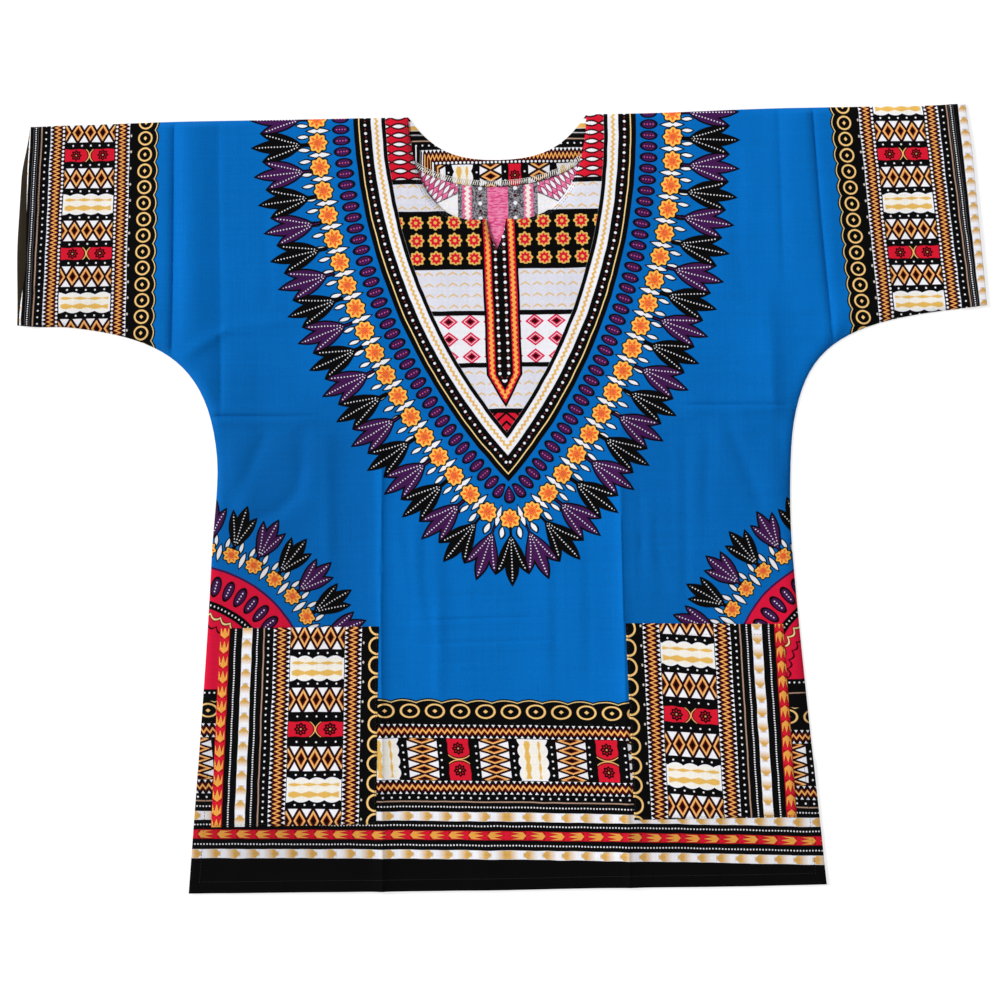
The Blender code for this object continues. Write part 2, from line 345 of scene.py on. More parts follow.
def redBlock(dye, colour, drop, side, bump, inLadder, plan):
    # two cushions with rosettes, parted by an hourglass
    waist = dye.maths("MULTIPLY_ADD", drop * drop, -plan["waist"], side)
    cushion = dye.maths("MULTIPLY_ADD", bump, ladder["cushionSwell"], drop)
    cushion = dye.both(dye.under(cushion, plan["redHalf"]), dye.over(waist, ladder["gap"]))
    colour = dye.paint(colour, "red", dye.both(cushion, inLadder))
    inRed = dye.under(drop, plan["redHalf"] - ladder["redIn"])
    colour = dye.paint(colour, "peach", dye.both(dye.band(waist, *ladder["hourglass"]), inRed))
    rose = plan["rose"]
    fromRose = side - plan["ladderHalf"] * ladder["roseAt"]
    size = dye.radius(fromRose, drop)
    lobe = dye.maths("COSINE", dye.maths("ARCTAN2", fromRose, drop) * ladder["lobes"])
    petals = dye.maths("MULTIPLY_ADD", lobe, ladder["lobeDeep"], size)
    colour = dye.paint(colour, "plum", dye.both(dye.under(petals, rose), inRed))
    low, high = (rose * share for share in ladder["seedRing"])
    soft = ladder["seedSoft"]
    seeds = dye.both(dye.band(size, low, high, soft), dye.over(lobe, ladder["lobeFrom"], soft))
    colour = dye.paint(colour, "red", dye.both(seeds, inRed) * ladder["seedShare"])
    eye = dye.both(dye.under(size, rose * ladder["eye"]), inRed)
    return dye.paint(colour, "peach", eye * ladder["eyeShare"])


def zigzag(dye, colour, offset, along, plan):
    # a gold wave on maroon, white teeth along both rims
    pitch = plan["zigzagPitch"]
    swing = plan["zigzagSwing"]
    tooth = dye.away(along, pitch)
    wave = dye.maths("MULTIPLY_ADD", tooth, -swing * 4 / pitch, offset + swing)
    colour = dye.paint(colour, "maroon", dye.under(abs(offset), plan["maroonHalf"]))
    gilt = dye.mix(inks["marigold"], inks["honey"], abs(offset) * (ladder["shine"] / swing))
    colour = dye.mix(colour, gilt, dye.under(abs(wave), plan["zigzagHalf"]))
    rim = plan["zigzagWide"] / 2 - abs(offset)
    beside = dye.maths("MULTIPLY_ADD", offset > 0, tooth * 2 - pitch / 2, pitch / 2 - tooth)
    teeth = dye.under(dye.maths("MULTIPLY_ADD", beside, plan["toothSlope"], rim), plan["toothDeep"])
    teeth = dye.both(teeth, dye.over(rim, ladder["rimFrom"]))
    if plan.get("pearls"):
        # small round pearls instead of teeth on the ladder's side
        pearls = dye.under(dye.radius(rim - plan["toothDeep"] / 2, beside), plan["pearls"])
        teeth = dye.both(teeth, offset > 0) + dye.both(pearls, offset < 0)
    return dye.paint(colour, "white", teeth)


def ringBand(dye, colour, fromEdge, along, plan):
    # black band with a scalloped gold-lined edge and a row of rings; fromEdge grows into the band
    bump = dye.away(along, plan["scallopPitch"]) * (2 / plan["scallopPitch"])
    edge = dye.maths("MULTIPLY_ADD", bump * bump, -plan["scallopDeep"], fromEdge)
    inBand = dye.both(dye.over(edge, 0), dye.under(fromEdge, plan["deep"]))
    colour = dye.paint(colour, "black", inBand)
    if plan["scallopDeep"]:
        colour = dye.paint(colour, "paleGold", dye.band(edge, 1.4, 2.3) * 0.85)
    beside = dye.away(along, plan["ringPitch"], plan["ringShift"])
    off = fromEdge - plan["ringAt"]
    size = dye.radius(off, beside * plan["ringSquash"])
    ring = dye.band(size, plan["ringHalf"] - plan["ringStroke"], plan["ringHalf"])
    bead = dye.under(dye.maths("MULTIPLY_ADD", beside, 0.8, abs(off)), plan["beadHalf"])
    colour = dye.paint(colour, "honey", dye.larger(ring, bead))
    beside = dye.away(along, plan["ringPitch"], plan["ringShift"] + 3)
    pearl = dye.radius(fromEdge - plan["pearlAt"], beside * 0.75)
    return dye.paint(colour, "mist", dye.under(pearl, 0.95))


def leafBand(dye, colour, across, ahead, plan):
    # a strip of pointed leaves, three flames behind each; ahead grows towards the points
    side = abs(across)
    half = plan["half"]
    colour = dye.paint(colour, plan["ground"], dye.under(side, half))
    along = plan["pitch"] - ahead % plan["pitch"]
    front = dye.maths("MULTIPLY_ADD", along, -plan["slope"], side)
    flames = dye.maths("MULTIPLY_ADD", dye.away(across, half * 0.84), plan["flame"], along)
    # the ground is tinted in front of a point and along the middle
    tint = dye.under(flames, plan["blade"] + 2.2, 2.5) if plan["flame"] else dye.over(front, 0)
    colour = dye.paint(colour, plan["shade"], dye.both(dye.under(side, half - plan["rim"], 1.0), tint))
    leaf = dye.both(dye.under(front, 0), dye.under(flames, plan["blade"], plan["fade"]))
    leaf = dye.both(leaf, dye.under(side, half - plan["margin"]))
    colour = dye.paint(colour, plan["leaf"], leaf)
    vein = dye.both(dye.band(front, -2.0, -1.2, 1.2), leaf)
    heart = dye.both(dye.under(side + abs(along - plan["blade"] * 0.45) * 0.4, 1.6, 1.6), leaf)
    return dye.paint(colour, plan["vein"], dye.larger(vein, heart) * plan["veinDeep"])


dotRows = {  # pitch and half-size of each plain row's dots
    "sleeve": (6.6, 0.85), "sleeveFine": (2.2, 0.6), "facingFine": (2.2, 0.75),
    "hem": (8.8, 1.0), "hemFine": (3.12, 0.78), "pocket": (6.65, 0.95), "pocketFine": (2.4, 0.75),
    "yoke": (8.2, 1.35), "yokeBetween": (8.2, 0.9), "placket": (7.6, 1.5), "placketBetween": (7.6, 0.95),
    "sun": (5.6, 1.0), "inside": (15.0, 2.0), "insideBetween": (15.0, 1.5),
}


def dotRow(dye, colour, across, along, kind, ink="white"):
    pitch, size = dotRows[kind]
    dot = dye.radius(across, dye.away(along, pitch))
    return dye.paint(colour, ink, dye.under(dot, size))


def lineAt(dye, colour, across, half, ink):
    return dye.paint(colour, ink, dye.under(abs(across), half))


sleevePlan = {
    "ladderHalf": 24.75, "zigzagWide": 15.3, "period": 98.2, "bump": 13.9, "bumpShift": -3.0,
    "scallop": 0.041, "whiteHalf": 10.4, "diamondWide": 12.35, "diamondAt": 26.2, "diamondHalf": 10.0,
    "core": 0.52, "redHalf": 6.4, "rose": 4.9, "waist": 0.09, "dotRowA": 13.0, "dotRowB": 39.6,
    "dotPitch": 8.8, "dotSize": 0.88, "zigzagPitch": 3.96, "zigzagSwing": 2.3, "zigzagHalf": 1.4,
    "maroonHalf": 4.6, "toothSlope": 1.9, "toothDeep": 3.6, "pearls": 1.2,
}
sleeveLay = {
    "middle": 403.35, "top": 387, "leftSlant": 0.041, "rightSlant": 0.080, "fan": 0.00024, "fanFrom": 363,
    "leftWhite": 305.6, "rightWhite": 292.7, "scallopAt": 334.3, "finesAt": 54.2, "leafAt": 64.7,
    "rightFinesIn": 1.25, "rightLeafIn": 6.1, "rightLeafSlant": 0.0168, "blackFrom": 40.0, "dotsAt": 44.2,
    "lineAt": 48.6, "rimAt": 2.2, "rimHalf": 0.14, "lineHalf": 0.6,
}
sleeveRings = {
    "scallopPitch": 16.2, "scallopDeep": 2.6, "deep": 29.4, "ringPitch": 16.2, "ringShift": 0.0,
    "beadHalf": 1.7, "ringAt": 14.0, "ringSquash": 1.0, "ringHalf": 7.1, "ringStroke": 1.6,
    "pearlAt": 27.9,
}
hemPlan = {
    "ladderHalf": 21.0, "zigzagWide": 14.1, "period": 148.5, "bump": 11.5, "bumpShift": -2.2,
    "scallop": 0.075, "whiteHalf": 15.2, "diamondWide": 9.8, "diamondAt": 38.4, "diamondHalf": 14.7,
    "core": 0.52, "redHalf": 11.0, "rose": 5.8, "waist": 0.035, "dotRowA": 19.2, "dotRowB": 56.6,
    "dotPitch": 7.15, "dotSize": 0.95, "zigzagPitch": 6.17, "zigzagSwing": 1.95, "zigzagHalf": 1.3,
    "maroonHalf": 4.0, "toothSlope": 1.5, "toothDeep": 3.0,
}
hemLay = {
    "middle": -256.75, "whiteAt": 27.9, "scallopAt": -196.0, "slant": 0.075, "dip": 0.0285, "bow": 0.00002,
    "blackDown": 24, "lineHalf": 0.6,
    # how far below level 0 each row and strip runs
    "dotsDown": 295.3, "lineDown": 299.1, "finesDown": (304.4, 323.1, 342.5),
    "leavesDown": (313.9, 332.6, 351.9),
}
hemRings = {
    "scallopPitch": 25.2, "scallopDeep": 2.6, "deep": 26.0, "ringPitch": 25.2, "ringShift": 6.0,
    "beadHalf": 1.9, "ringAt": 12.7, "ringSquash": 0.72, "ringHalf": 7.2, "ringStroke": 1.5,
    "pearlAt": 25.0,
}
whiteLeaves = {
    "half": 4.45, "pitch": 19.3, "slope": 1.05, "blade": 10.5, "flame": 0.0, "fade": 8.5, "rim": 1.9,
    "margin": 0.3, "ground": "white", "shade": "silk", "leaf": "straw", "vein": "rust", "veinDeep": 0.12,
}
redLeaves = {
    "half": 4.5, "pitch": 19.3, "slope": 1.15, "blade": 15.6, "flame": 4.9, "fade": 0.8, "rim": 0.4,
    "margin": 0.9, "ground": "red", "shade": "brick", "leaf": "amber", "vein": "ember", "veinDeep": 0.25,
}
pocketPlan = {
    "ladderHalf": 27.2, "zigzagWide": 17.2, "period": 121.4, "bump": 15.0, "bumpShift": -3.0,
    "scallop": 0.048, "whiteHalf": 12.6, "diamondWide": 13.15, "diamondAt": 31.2, "diamondHalf": 12.0,
    "core": 0.54, "redHalf": 8.0, "rose": 6.0, "waist": 0.09, "dotRowA": 15.1, "dotRowB": 47.8,
    "dotPitch": 9.5, "dotSize": 0.9, "zigzagPitch": 4.75, "zigzagSwing": 2.8, "zigzagHalf": 1.65,
    "maroonHalf": 5.0, "toothSlope": 2.0, "toothDeep": 3.8,
}
pocketLay = {
    "ladderAt": 61.2, "wide": 160, "topY": -123, "footY": -319, "leftWhite": -161.6, "rightWhite": -156.4,
    "leftTilt": 0.0175, "rightTilt": 0.085, "middleX": 206, "dotsAt": 110.5, "lineAt": 115.2,
    "lineHalf": 0.65, "finesAt": (122.0, 144.2), "whiteLeavesAt": 132.3, "redLeavesAt": 155.2,
    # half-shirt place of the inner and outer edge at the top, and how far each leans out per unit of drop
    "left": (124.3, 0.0306, 283.0, 0.0638), "right": (122.2, 0.0270, 280.0, 0.0520),
}
pocketRings = {
    "scallopPitch": 19.6, "scallopDeep": 0.0, "deep": 16.0, "ringPitch": 19.6, "ringShift": 3.0,
    "beadHalf": 0.0, "ringAt": 1.2, "ringSquash": 0.95, "ringHalf": 8.8, "ringStroke": 1.9,
    "pearlAt": 15.0,
}
pocketWhiteLeaves = dict(whiteLeaves, half=4.9, pitch=14.6, blade=7.6, fade=6.5)
pocketRedLeaves = dict(redLeaves, half=5.1, pitch=14.8, slope=1.25, blade=12.6, flame=3.6)
sleeveLeaves = dict(whiteLeaves, half=4.8, pitch=12.2, blade=6.2, fade=5.0)


def sleevePrint(dye, colour, x, y):
    lay = sleeveLay
    right = x > 0
    out = abs(x)
    slant = dye.maths("MULTIPLY_ADD", right, lay["rightSlant"] - lay["leftSlant"], lay["leftSlant"])
    slant = dye.maths("MULTIPLY_ADD", out - lay["fanFrom"], lay["fan"], slant)
    place = out - slant * (lay["top"] - y)
    along = y - lay["leftWhite"] + right * (lay["leftWhite"] - lay["rightWhite"])
    colour = ringBand(dye, colour, place - lay["scallopAt"], along, sleeveRings)
    across = place - lay["middle"]
    colour = dye.paint(colour, "black", dye.over(across, lay["blackFrom"]))
    colour = ladderBand(dye, colour, across, along, sleevePlan)
    colour = dotRow(dye, colour, across - lay["dotsAt"], along, "sleeve")
    colour = lineAt(dye, colour, across - lay["lineAt"], lay["lineHalf"], "dusk")
    # the outer bands lie closer in on the sleeve at +X
    fines = across - lay["finesAt"] + right * lay["rightFinesIn"]
    colour = dotRow(dye, colour, fines, along, "sleeveFine")
    colour = lineAt(dye, colour, abs(fines) - lay["rimAt"], lay["rimHalf"], "fadedGrey")
    inward = dye.maths("MULTIPLY_ADD", y, -lay["rightLeafSlant"], lay["rightLeafIn"])
    return leafBand(dye, colour, across - lay["leafAt"] + right * inward, along, sleeveLeaves)


def hemLine(dye, x, y):
    # height on the hem's print, which dips towards +X
    lean = dye.maths("MULTIPLY_ADD", x, hemLay["bow"], hemLay["dip"])
    return dye.maths("MULTIPLY_ADD", x, lean, y)


def hemPrint(dye, colour, x, y):
    lay = hemLay
    level = hemLine(dye, x, y)
    colour = ringBand(dye, colour, lay["scallopAt"] - level, x, hemRings)
    colour = dye.paint(colour, "black", dye.under(level, lay["scallopAt"] - lay["blackDown"]))
    across = level - lay["middle"]
    along = x - lay["whiteAt"] + across * lay["slant"]
    colour = ladderBand(dye, colour, across, along, hemPlan)
    colour = dotRow(dye, colour, level + lay["dotsDown"], x, "hem")
    colour = lineAt(dye, colour, level + lay["lineDown"], lay["lineHalf"], "dusk")
    first, second, third = (abs(level + down) for down in lay["finesDown"])
    colour = dotRow(dye, colour, dye.smaller(first, dye.smaller(second, third)), x, "hemFine")
    outward = abs(x)
    inward = 1000 - outward
    strips = ((inward, whiteLeaves), (outward, redLeaves), (inward, whiteLeaves))
    for down, (ahead, leaves) in zip(lay["leavesDown"], strips):
        colour = leafBand(dye, colour, level + down, ahead, leaves)
    return colour


def pocketPrint(dye, colour, x, y):
    # upright bands; from the inner side: cut rings, ladder, lines, white leaves, red leaves
    lay = pocketLay
    right = x > 0
    side = abs(x)
    drop = lay["topY"] - y
    edgesAt = (right * (b - a) + a for a, b in zip(lay["left"], lay["right"]))
    innerAt, innerLean, outerAt, outerLean = edgesAt
    inner = drop * innerLean + innerAt
    outer = drop * outerLean + outerAt
    place = (side - inner) / (outer - inner) * lay["wide"]
    tilt = dye.maths("MULTIPLY_ADD", right, -lay["rightTilt"] - lay["leftTilt"], lay["leftTilt"])
    level = dye.maths("MULTIPLY_ADD", tilt, lay["middleX"] - side, y)
    along = level - lay["leftWhite"] + right * (lay["leftWhite"] - lay["rightWhite"])
    colour = dye.paint(colour, "black", 1.0)
    colour = ringBand(dye, colour, place, along, pocketRings)
    colour = ladderBand(dye, colour, place - lay["ladderAt"], along, pocketPlan)
    colour = dotRow(dye, colour, place - lay["dotsAt"], along, "pocket")
    colour = lineAt(dye, colour, place - lay["lineAt"], lay["lineHalf"], "dusk")
    first, second = (abs(place - at) for at in lay["finesAt"])
    colour = dotRow(dye, colour, dye.smaller(first, second), along, "pocketFine")
    up = along * (1 - right * 2)
    colour = leafBand(dye, colour, place - lay["whiteLeavesAt"], up, pocketWhiteLeaves)
    return leafBand(dye, colour, place - lay["redLeavesAt"], 0 - up, pocketRedLeaves)


# ---- the yoke, its leaf fringe and the side suns

yokeFringe = {
    "beadAt": 13.0, "beadLong": 8.2, "beadWide": 4.5, "roseAt": 37.0, "roseSize": 9.4, "leafAt": 36.0,
    "leafLong": 11.0, "leafWide": 2.6, "tipAt": 54.5, "fanAt": 77.0, "fanFrom": 52.0, "fanLong": 25.5,
    "fanWide": 6.3, "wingLean": 18.0, "wingWide": 5.1, "wingLong": 21.0, "stemFrom": 46,
}
sunFringe = dict(
    yokeFringe, roseAt=17.0, roseSize=8.0, leafAt=16.0, leafLong=8.5, leafWide=2.4, tipAt=30.5,
    fanAt=48.0, fanFrom=25.0, fanLong=21.5, fanWide=6.2, wingWide=5.1, wingLong=18.0, stemFrom=24,
)


def blade(dye, along, across, middle, longHalf, wideHalf):
    # about how far, in millimetres, a place is outside a pointed leaf
    bow = (along - middle) * (1 / longHalf)
    return dye.maths("MULTIPLY_ADD", bow * bow, wideHalf, abs(across) - wideHalf)


def leafFringe(dye, colour, out, turnLength, straightLength, plan, beads):
    # beads, rosettes and fans of leaves; a place is out from the border and a length along it
    if beads:
        beadAlong = dye.maths("MULTIPLY_ADD", turnLength, plan["beadAt"], straightLength)
        beside = dye.away(beadAlong, plan["beadPitch"])
        bead = dye.radius((out - plan["beadAt"]) * (plan["beadWide"] / plan["beadLong"]), beside)
        colour = dye.paint(colour, "black", dye.under(bead, plan["beadWide"] + 0.5))
        colour = dye.paint(colour, "purple", dye.under(bead, plan["beadWide"] - 0.8))
        seeds = dye.under(dye.radius(beside, dye.away(out, 2.9)), 0.6)
        seeds = dye.both(seeds, dye.under(bead, plan["beadWide"] - 1.6))
        colour = dye.paint(colour, "fadedPink", seeds)
    # white leaves between the rosettes
    roseAlong = dye.maths("MULTIPLY_ADD", turnLength, plan["roseAt"], straightLength)
    beside = dye.away(roseAlong, plan["rosePitch"])
    between = plan["rosePitch"] / 2 - beside
    leaf = blade(dye, out, between, plan["leafAt"], plan["leafLong"], plan["leafWide"])
    leaf = dye.smaller(leaf, blade(dye, out + beside * 0.5, between - 5.6, plan["tipAt"], 6.0, 1.9))
    colour = dye.paint(colour, "black", dye.under(leaf, 1.0))
    colour = dye.paint(colour, "white", dye.under(leaf, -0.3))
    # rosettes with a gold edge and an orange heart
    up = out - plan["roseAt"]
    size = dye.radius(up, beside)
    lobe = dye.maths("COSINE", dye.maths("ARCTAN2", up, beside) * 8)
    petals = dye.maths("MULTIPLY_ADD", lobe, -0.9, size)
    colour = dye.paint(colour, "black", dye.under(petals, plan["roseSize"] + 0.9))
    colour = dye.paint(colour, "paleOrange", dye.under(petals, plan["roseSize"] - 0.5))
    heart = dye.maths("MULTIPLY_ADD", lobe, -2.0, size)
    colour = dye.paint(colour, "ember", dye.band(heart, 2.6, plan["roseSize"] * 0.62, 1.0))
    colour = dye.paint(colour, "red", dye.under(heart, 1.6))
    # fans of three leaves, purple and black in turn
    fanAlong = dye.maths("MULTIPLY_ADD", turnLength, plan["fanAt"], straightLength)
    beside = dye.away(fanAlong, plan["fanPitch"])
    odd = dye.away(fanAlong, plan["fanPitch"] * 2) > plan["fanPitch"] / 2
    middle = plan["fanFrom"] + plan["fanLong"]
    centre = blade(dye, out, beside, middle, plan["fanLong"], plan["fanWide"])
    lean = math.radians(plan["wingLean"])
    rise = out - plan["fanFrom"]
    wingAlong = dye.maths("MULTIPLY_ADD", rise, math.cos(lean), beside * math.sin(lean))
    wingAcross = dye.maths("MULTIPLY_ADD", rise, -math.sin(lean), beside * math.cos(lean))
    wing = blade(dye, wingAlong, wingAcross, plan["wingLong"] + 1, plan["wingLong"], plan["wingWide"])
    stem = dye.larger(dye.larger(plan["stemFrom"] - out, out - plan["fanFrom"] - 8), beside - 1.3)
    leaf = dye.smaller(dye.smaller(centre, wing), stem)
    colour = dye.paint(colour, "black", dye.under(leaf, 0.9))
    colour = dye.paint(colour, "purple", dye.both(dye.under(leaf, -0.8), odd))
    beads = dye.radius(beside, dye.away(out, 3.1))
    beads = dye.smaller(beads, dye.radius(wingAcross, dye.away(wingAlong, 3.1)))
    return dye.paint(colour, "white", dye.both(dye.under(beads, 0.62), dye.under(leaf, -1.6)))


yoke = {
    "axisX": 3.0, "axisY": 253, "lean": 0.022, "arcOut": 404.5, "arcY": 387, "arcRadius": 545.5,
    "tipDrop": 366, "whiteFrom": -28.0, "whiteTo": -17.5, "panelAt": -32.0, "placketWide": 18.0,
    "placketFoot": 128, "cells": 19, "goldLine": (-6.0, -4.9), "dotsIn": 11.5, "placketRed": (8.6, 15.6),
    "placketWave": 12.9, "placketDots": 4.4,
}
tipTurn = math.atan2(yoke["tipDrop"], yoke["arcOut"])
wedgeTurn = math.pi / 2 - tipTurn
for kind, count in (("bead", yoke["cells"] * 2), ("rose", yoke["cells"]), ("fan", yoke["cells"])):
    length = (tipTurn + wedgeTurn) * yokeFringe[kind + "At"] + tipTurn * yoke["arcRadius"]
    yokeFringe[kind + "Pitch"] = length / count


def yokePrint(dye, colour, x, y):
    lean = dye.maths("MULTIPLY_ADD", y, yoke["lean"], x - yoke["axisX"] - yoke["axisY"] * yoke["lean"])
    side = abs(lean)
    down = yoke["arcY"] - y
    arm = side + yoke["arcOut"]
    turn = dye.maths("ARCTAN2", down, arm)
    inWedge = turn > tipTurn
    ahead = dye.maths("MAXIMUM", tipTurn - turn, 0)
    below = down - yoke["tipDrop"]
    wedge = dye.maths("ARCTAN2", side, below)
    turned = ahead + wedgeTurn + inWedge * (wedge - wedgeTurn)
    straight = ahead * yoke["arcRadius"]
    onArc = dye.radius(down, arm) - yoke["arcRadius"]
    out = onArc + inWedge * (dye.radius(side, below) - onArc)
    colour = leafFringe(dye, colour, out, turned, straight, yokeFringe, beads=True)
    # borders
    colour = dye.paint(colour, "black", dye.under(out, 0))
    colour = dye.paint(colour, "paleGold", dye.band(out, *yoke["goldLine"]))
    dotted = out + yoke["dotsIn"]
    colour = dotRow(dye, colour, dotted, straight, "yoke")
    colour = dotRow(dye, colour, dotted, straight + dotRows["yoke"][0] / 2, "yokeBetween", "rust")
    colour = dye.paint(colour, "white", dye.band(out, yoke["whiteFrom"], yoke["whiteTo"]))
    wave = out - (yoke["whiteFrom"] + yoke["whiteTo"]) / 2 - 1.1 + dye.away(straight, 5.2) * 0.85
    colour = dye.paint(colour, "gold", dye.under(abs(wave), 1.35, 1.2))
    inside = dye.under(out, yoke["panelAt"])
    colour = panelTiers(dye, colour, side, y, inside)
    return placket(dye, colour, side, y)


panelLay = {
    "chevronWide": 12.0, "chevronPitch": 11.0, "chevronHalf": 0.9, "chevronCut": 4.6, "lineHalf": 2.4,
    "roseFoot": 236, "roseTop": 290, "rosePitch": (19.0, 18.0), "roseShift": (25.5, 245),
    "roseSizes": (7.0, 4.8, 1.7), "gemFoot": 138, "gemTop": 190, "gemPitch": (22.0, 17.4),
    "gemShift": (32.0, 164), "nestTop": 92, "nestPitch": 9.0, "nestHalf": 1.5, "seedFoot": 322,
    "seedPitch": (16.0, 9.0), "seedHalf": (6.5, 1.9),
}


def panelTiers(dye, colour, side, y, inside):
    # cloth blocks one below the other, each between black lines
    colour = dye.paint(colour, "chalk", inside)
    # gold chevrons on white, in rows
    peak = dye.away(side, panelLay["chevronWide"])
    chevron = dye.away(dye.maths("MULTIPLY_ADD", peak, 0.6, y), panelLay["chevronPitch"])
    chevron = dye.under(chevron, panelLay["chevronHalf"], 0.8)
    chevron = dye.both(chevron, dye.under(peak, panelLay["chevronCut"], 1.0))
    colour = dye.paint(colour, "gold", dye.both(chevron, inside) * 0.8)
    # rosettes on black
    tier = dye.both(dye.band(y, panelLay["roseFoot"], panelLay["roseTop"]), inside)
    colour = dye.paint(colour, "black", tier)
    overX = dye.away(side, panelLay["rosePitch"][0], panelLay["roseShift"][0])
    overY = dye.away(y, panelLay["rosePitch"][1], panelLay["roseShift"][1])
    petals, middle, heart = panelLay["roseSizes"]
    size = dye.radius(overX, overY)
    lobe = dye.maths("COSINE", dye.maths("ARCTAN2", overX, overY) * 8)
    rose = dye.maths("MULTIPLY_ADD", lobe, -0.8, size)
    colour = dye.paint(colour, "gold", dye.both(dye.under(rose, petals), tier))
    colour = dye.paint(colour, "red", dye.both(dye.under(rose, middle), tier))
    colour = dye.paint(colour, "gold", dye.both(dye.under(size, heart), tier))
    # pink diamonds on white
    tier = dye.both(dye.band(y, panelLay["gemFoot"], panelLay["gemTop"]), inside)
    colour = dye.paint(colour, "white", tier)
    (wide, high), (shiftX, shiftY) = panelLay["gemPitch"], panelLay["gemShift"]
    facet = dye.away(side, wide, shiftX) * (2 / wide) + dye.away(y, high, shiftY) * (2 / high)
    colour = dye.paint(colour, "pink", dye.both(dye.under(facet, 0.86, 0.06), tier))
    colour = dye.paint(colour, "cream", dye.both(dye.band(facet, 0.52, 0.60, 0.05), tier))
    colour = dye.paint(colour, "maroon", dye.both(dye.under(facet, 0.34, 0.06), tier))
    # nested triangles at the foot
    tier = dye.both(dye.under(y, panelLay["nestTop"]), inside)
    colour = dye.paint(colour, "red", tier)
    nest = dye.away(dye.maths("MULTIPLY_ADD", side, 0.9, y), panelLay["nestPitch"])
    colour = dye.paint(colour, "black", dye.both(dye.under(nest, panelLay["nestHalf"]), tier))
    # shoulders: white seeds on red
    tier = dye.both(dye.over(y, panelLay["seedFoot"]), inside)
    colour = dye.paint(colour, "red", tier)
    wide, high = panelLay["seedPitch"]
    seed = blade(dye, dye.away(side, wide), dye.away(y, high), 0.0, *panelLay["seedHalf"])
    colour = dye.paint(colour, "maroon", dye.both(dye.under(seed, 1.6), tier))
    colour = dye.paint(colour, "white", dye.both(dye.under(seed, -0.2), tier))
    # black lines between the tiers
    lines = abs(y - panelLay["seedFoot"])
    for kind in ("roseTop", "roseFoot", "gemTop", "gemFoot", "nestTop"):
        lines = dye.smaller(lines, abs(y - panelLay[kind]))
    return dye.paint(colour, "black", dye.both(dye.under(lines, panelLay["lineHalf"]), inside))


def placket(dye, colour, side, y):
    # a narrow panel round the slit that ends in a point
    foot = dye.maths("MAXIMUM", yoke["placketFoot"] - y, 0)
    edge = dye.maths("MULTIPLY_ADD", foot, 0.55, side)
    colour = dye.paint(colour, "black", dye.under(edge, yoke["placketWide"]))
    colour = dye.paint(colour, "red", dye.band(edge, *yoke["placketRed"]))
    wave = dye.maths("MULTIPLY_ADD", dye.away(y, 5.0), 0.8, edge - yoke["placketWave"])
    colour = dye.paint(colour, "orange", dye.under(abs(wave), 1.7))
    dotted = edge - yoke["placketDots"]
    colour = dotRow(dye, colour, dotted, y, "placket")
    return dotRow(dye, colour, dotted, y - dotRows["placket"][0] / 2, "placketBetween", "rust")


sun = {
    "x": 319, "rightX": 352, "y": -181, "discHalf": 125, "rays": 18, "seedsAt": 107, "seedPitch": 15.4,
    "blackRing": (84, 92), "dotsAt": 88.0, "scallopPitch": 17.0, "scallopDeep": 0.055, "waveAt": 76,
    "innerWaveAt": 66, "footDots": 3.6, "footLine": (-14.6, -13.4),
}
for kind in ("rose", "fan"):
    sunFringe[kind + "Pitch"] = math.pi * (sun["discHalf"] + sunFringe[kind + "At"]) / sun["rays"]


def sunPrint(dye, colour, x, y):
    # a half sun at each side edge, with a shorter fringe
    side = dye.maths("MULTIPLY_ADD", x > 0, sun["rightX"] - sun["x"], sun["x"] - abs(x))
    rise = y - sun["y"]
    reach = dye.radius(side, rise)
    turn = dye.maths("ARCTAN2", side, rise)
    straight = turn * sun["discHalf"]
    colour = leafFringe(dye, colour, reach - sun["discHalf"], turn, straight, sunFringe, beads=False)
    colour = dye.paint(colour, "purple", dye.under(reach, sun["discHalf"] + 0.5))
    colour = dye.paint(colour, "crimson", dye.under(reach, sun["discHalf"] - 1.8))
    beside = dye.away(straight, sun["seedPitch"], sun["seedPitch"] / 2)
    seed = dye.radius((reach - sun["seedsAt"]) * 0.56, beside)
    colour = dye.paint(colour, "black", dye.under(seed, 6.2))
    colour = dye.paint(colour, "purple", dye.under(seed, 4.7))
    core = dye.both(dye.under(dye.radius(beside, dye.away(reach, 3.2)), 0.75), dye.under(seed, 3.6))
    colour = dye.paint(colour, "white", core)
    colour = dye.paint(colour, "black", dye.band(reach, *sun["blackRing"]))
    colour = dotRow(dye, colour, reach - sun["dotsAt"], straight, "sun")
    scallop = dye.away(straight, sun["scallopPitch"])
    wave = dye.maths("MULTIPLY_ADD", scallop * scallop, -sun["scallopDeep"], reach - sun["waveAt"])
    colour = dye.paint(colour, "maroon", dye.under(abs(wave), 2.1))
    colour = dye.paint(colour, "paleGold", dye.under(abs(wave), 1.0))
    inner = dye.maths("MULTIPLY_ADD", scallop * scallop, -sun["scallopDeep"], reach - sun["innerWaveAt"])
    colour = dye.paint(colour, "maroon", dye.under(abs(inner), 1.1))
    # foot of the disc, above the hem: black with white dots and a gold line
    foot = dye.both(dye.under(y, sun["y"]), dye.under(side, sun["discHalf"] + 0.5))
    colour = dye.paint(colour, "black", foot)
    dots = dye.radius(y - sun["y"] + sun["footDots"], dye.away(x, 5.0))
    colour = dye.paint(colour, "white", dye.both(dye.under(dots, 0.95), foot))
    low, high = (sun["y"] + at for at in sun["footLine"])
    return dye.paint(colour, "dusk", dye.both(dye.band(y, low, high), foot))


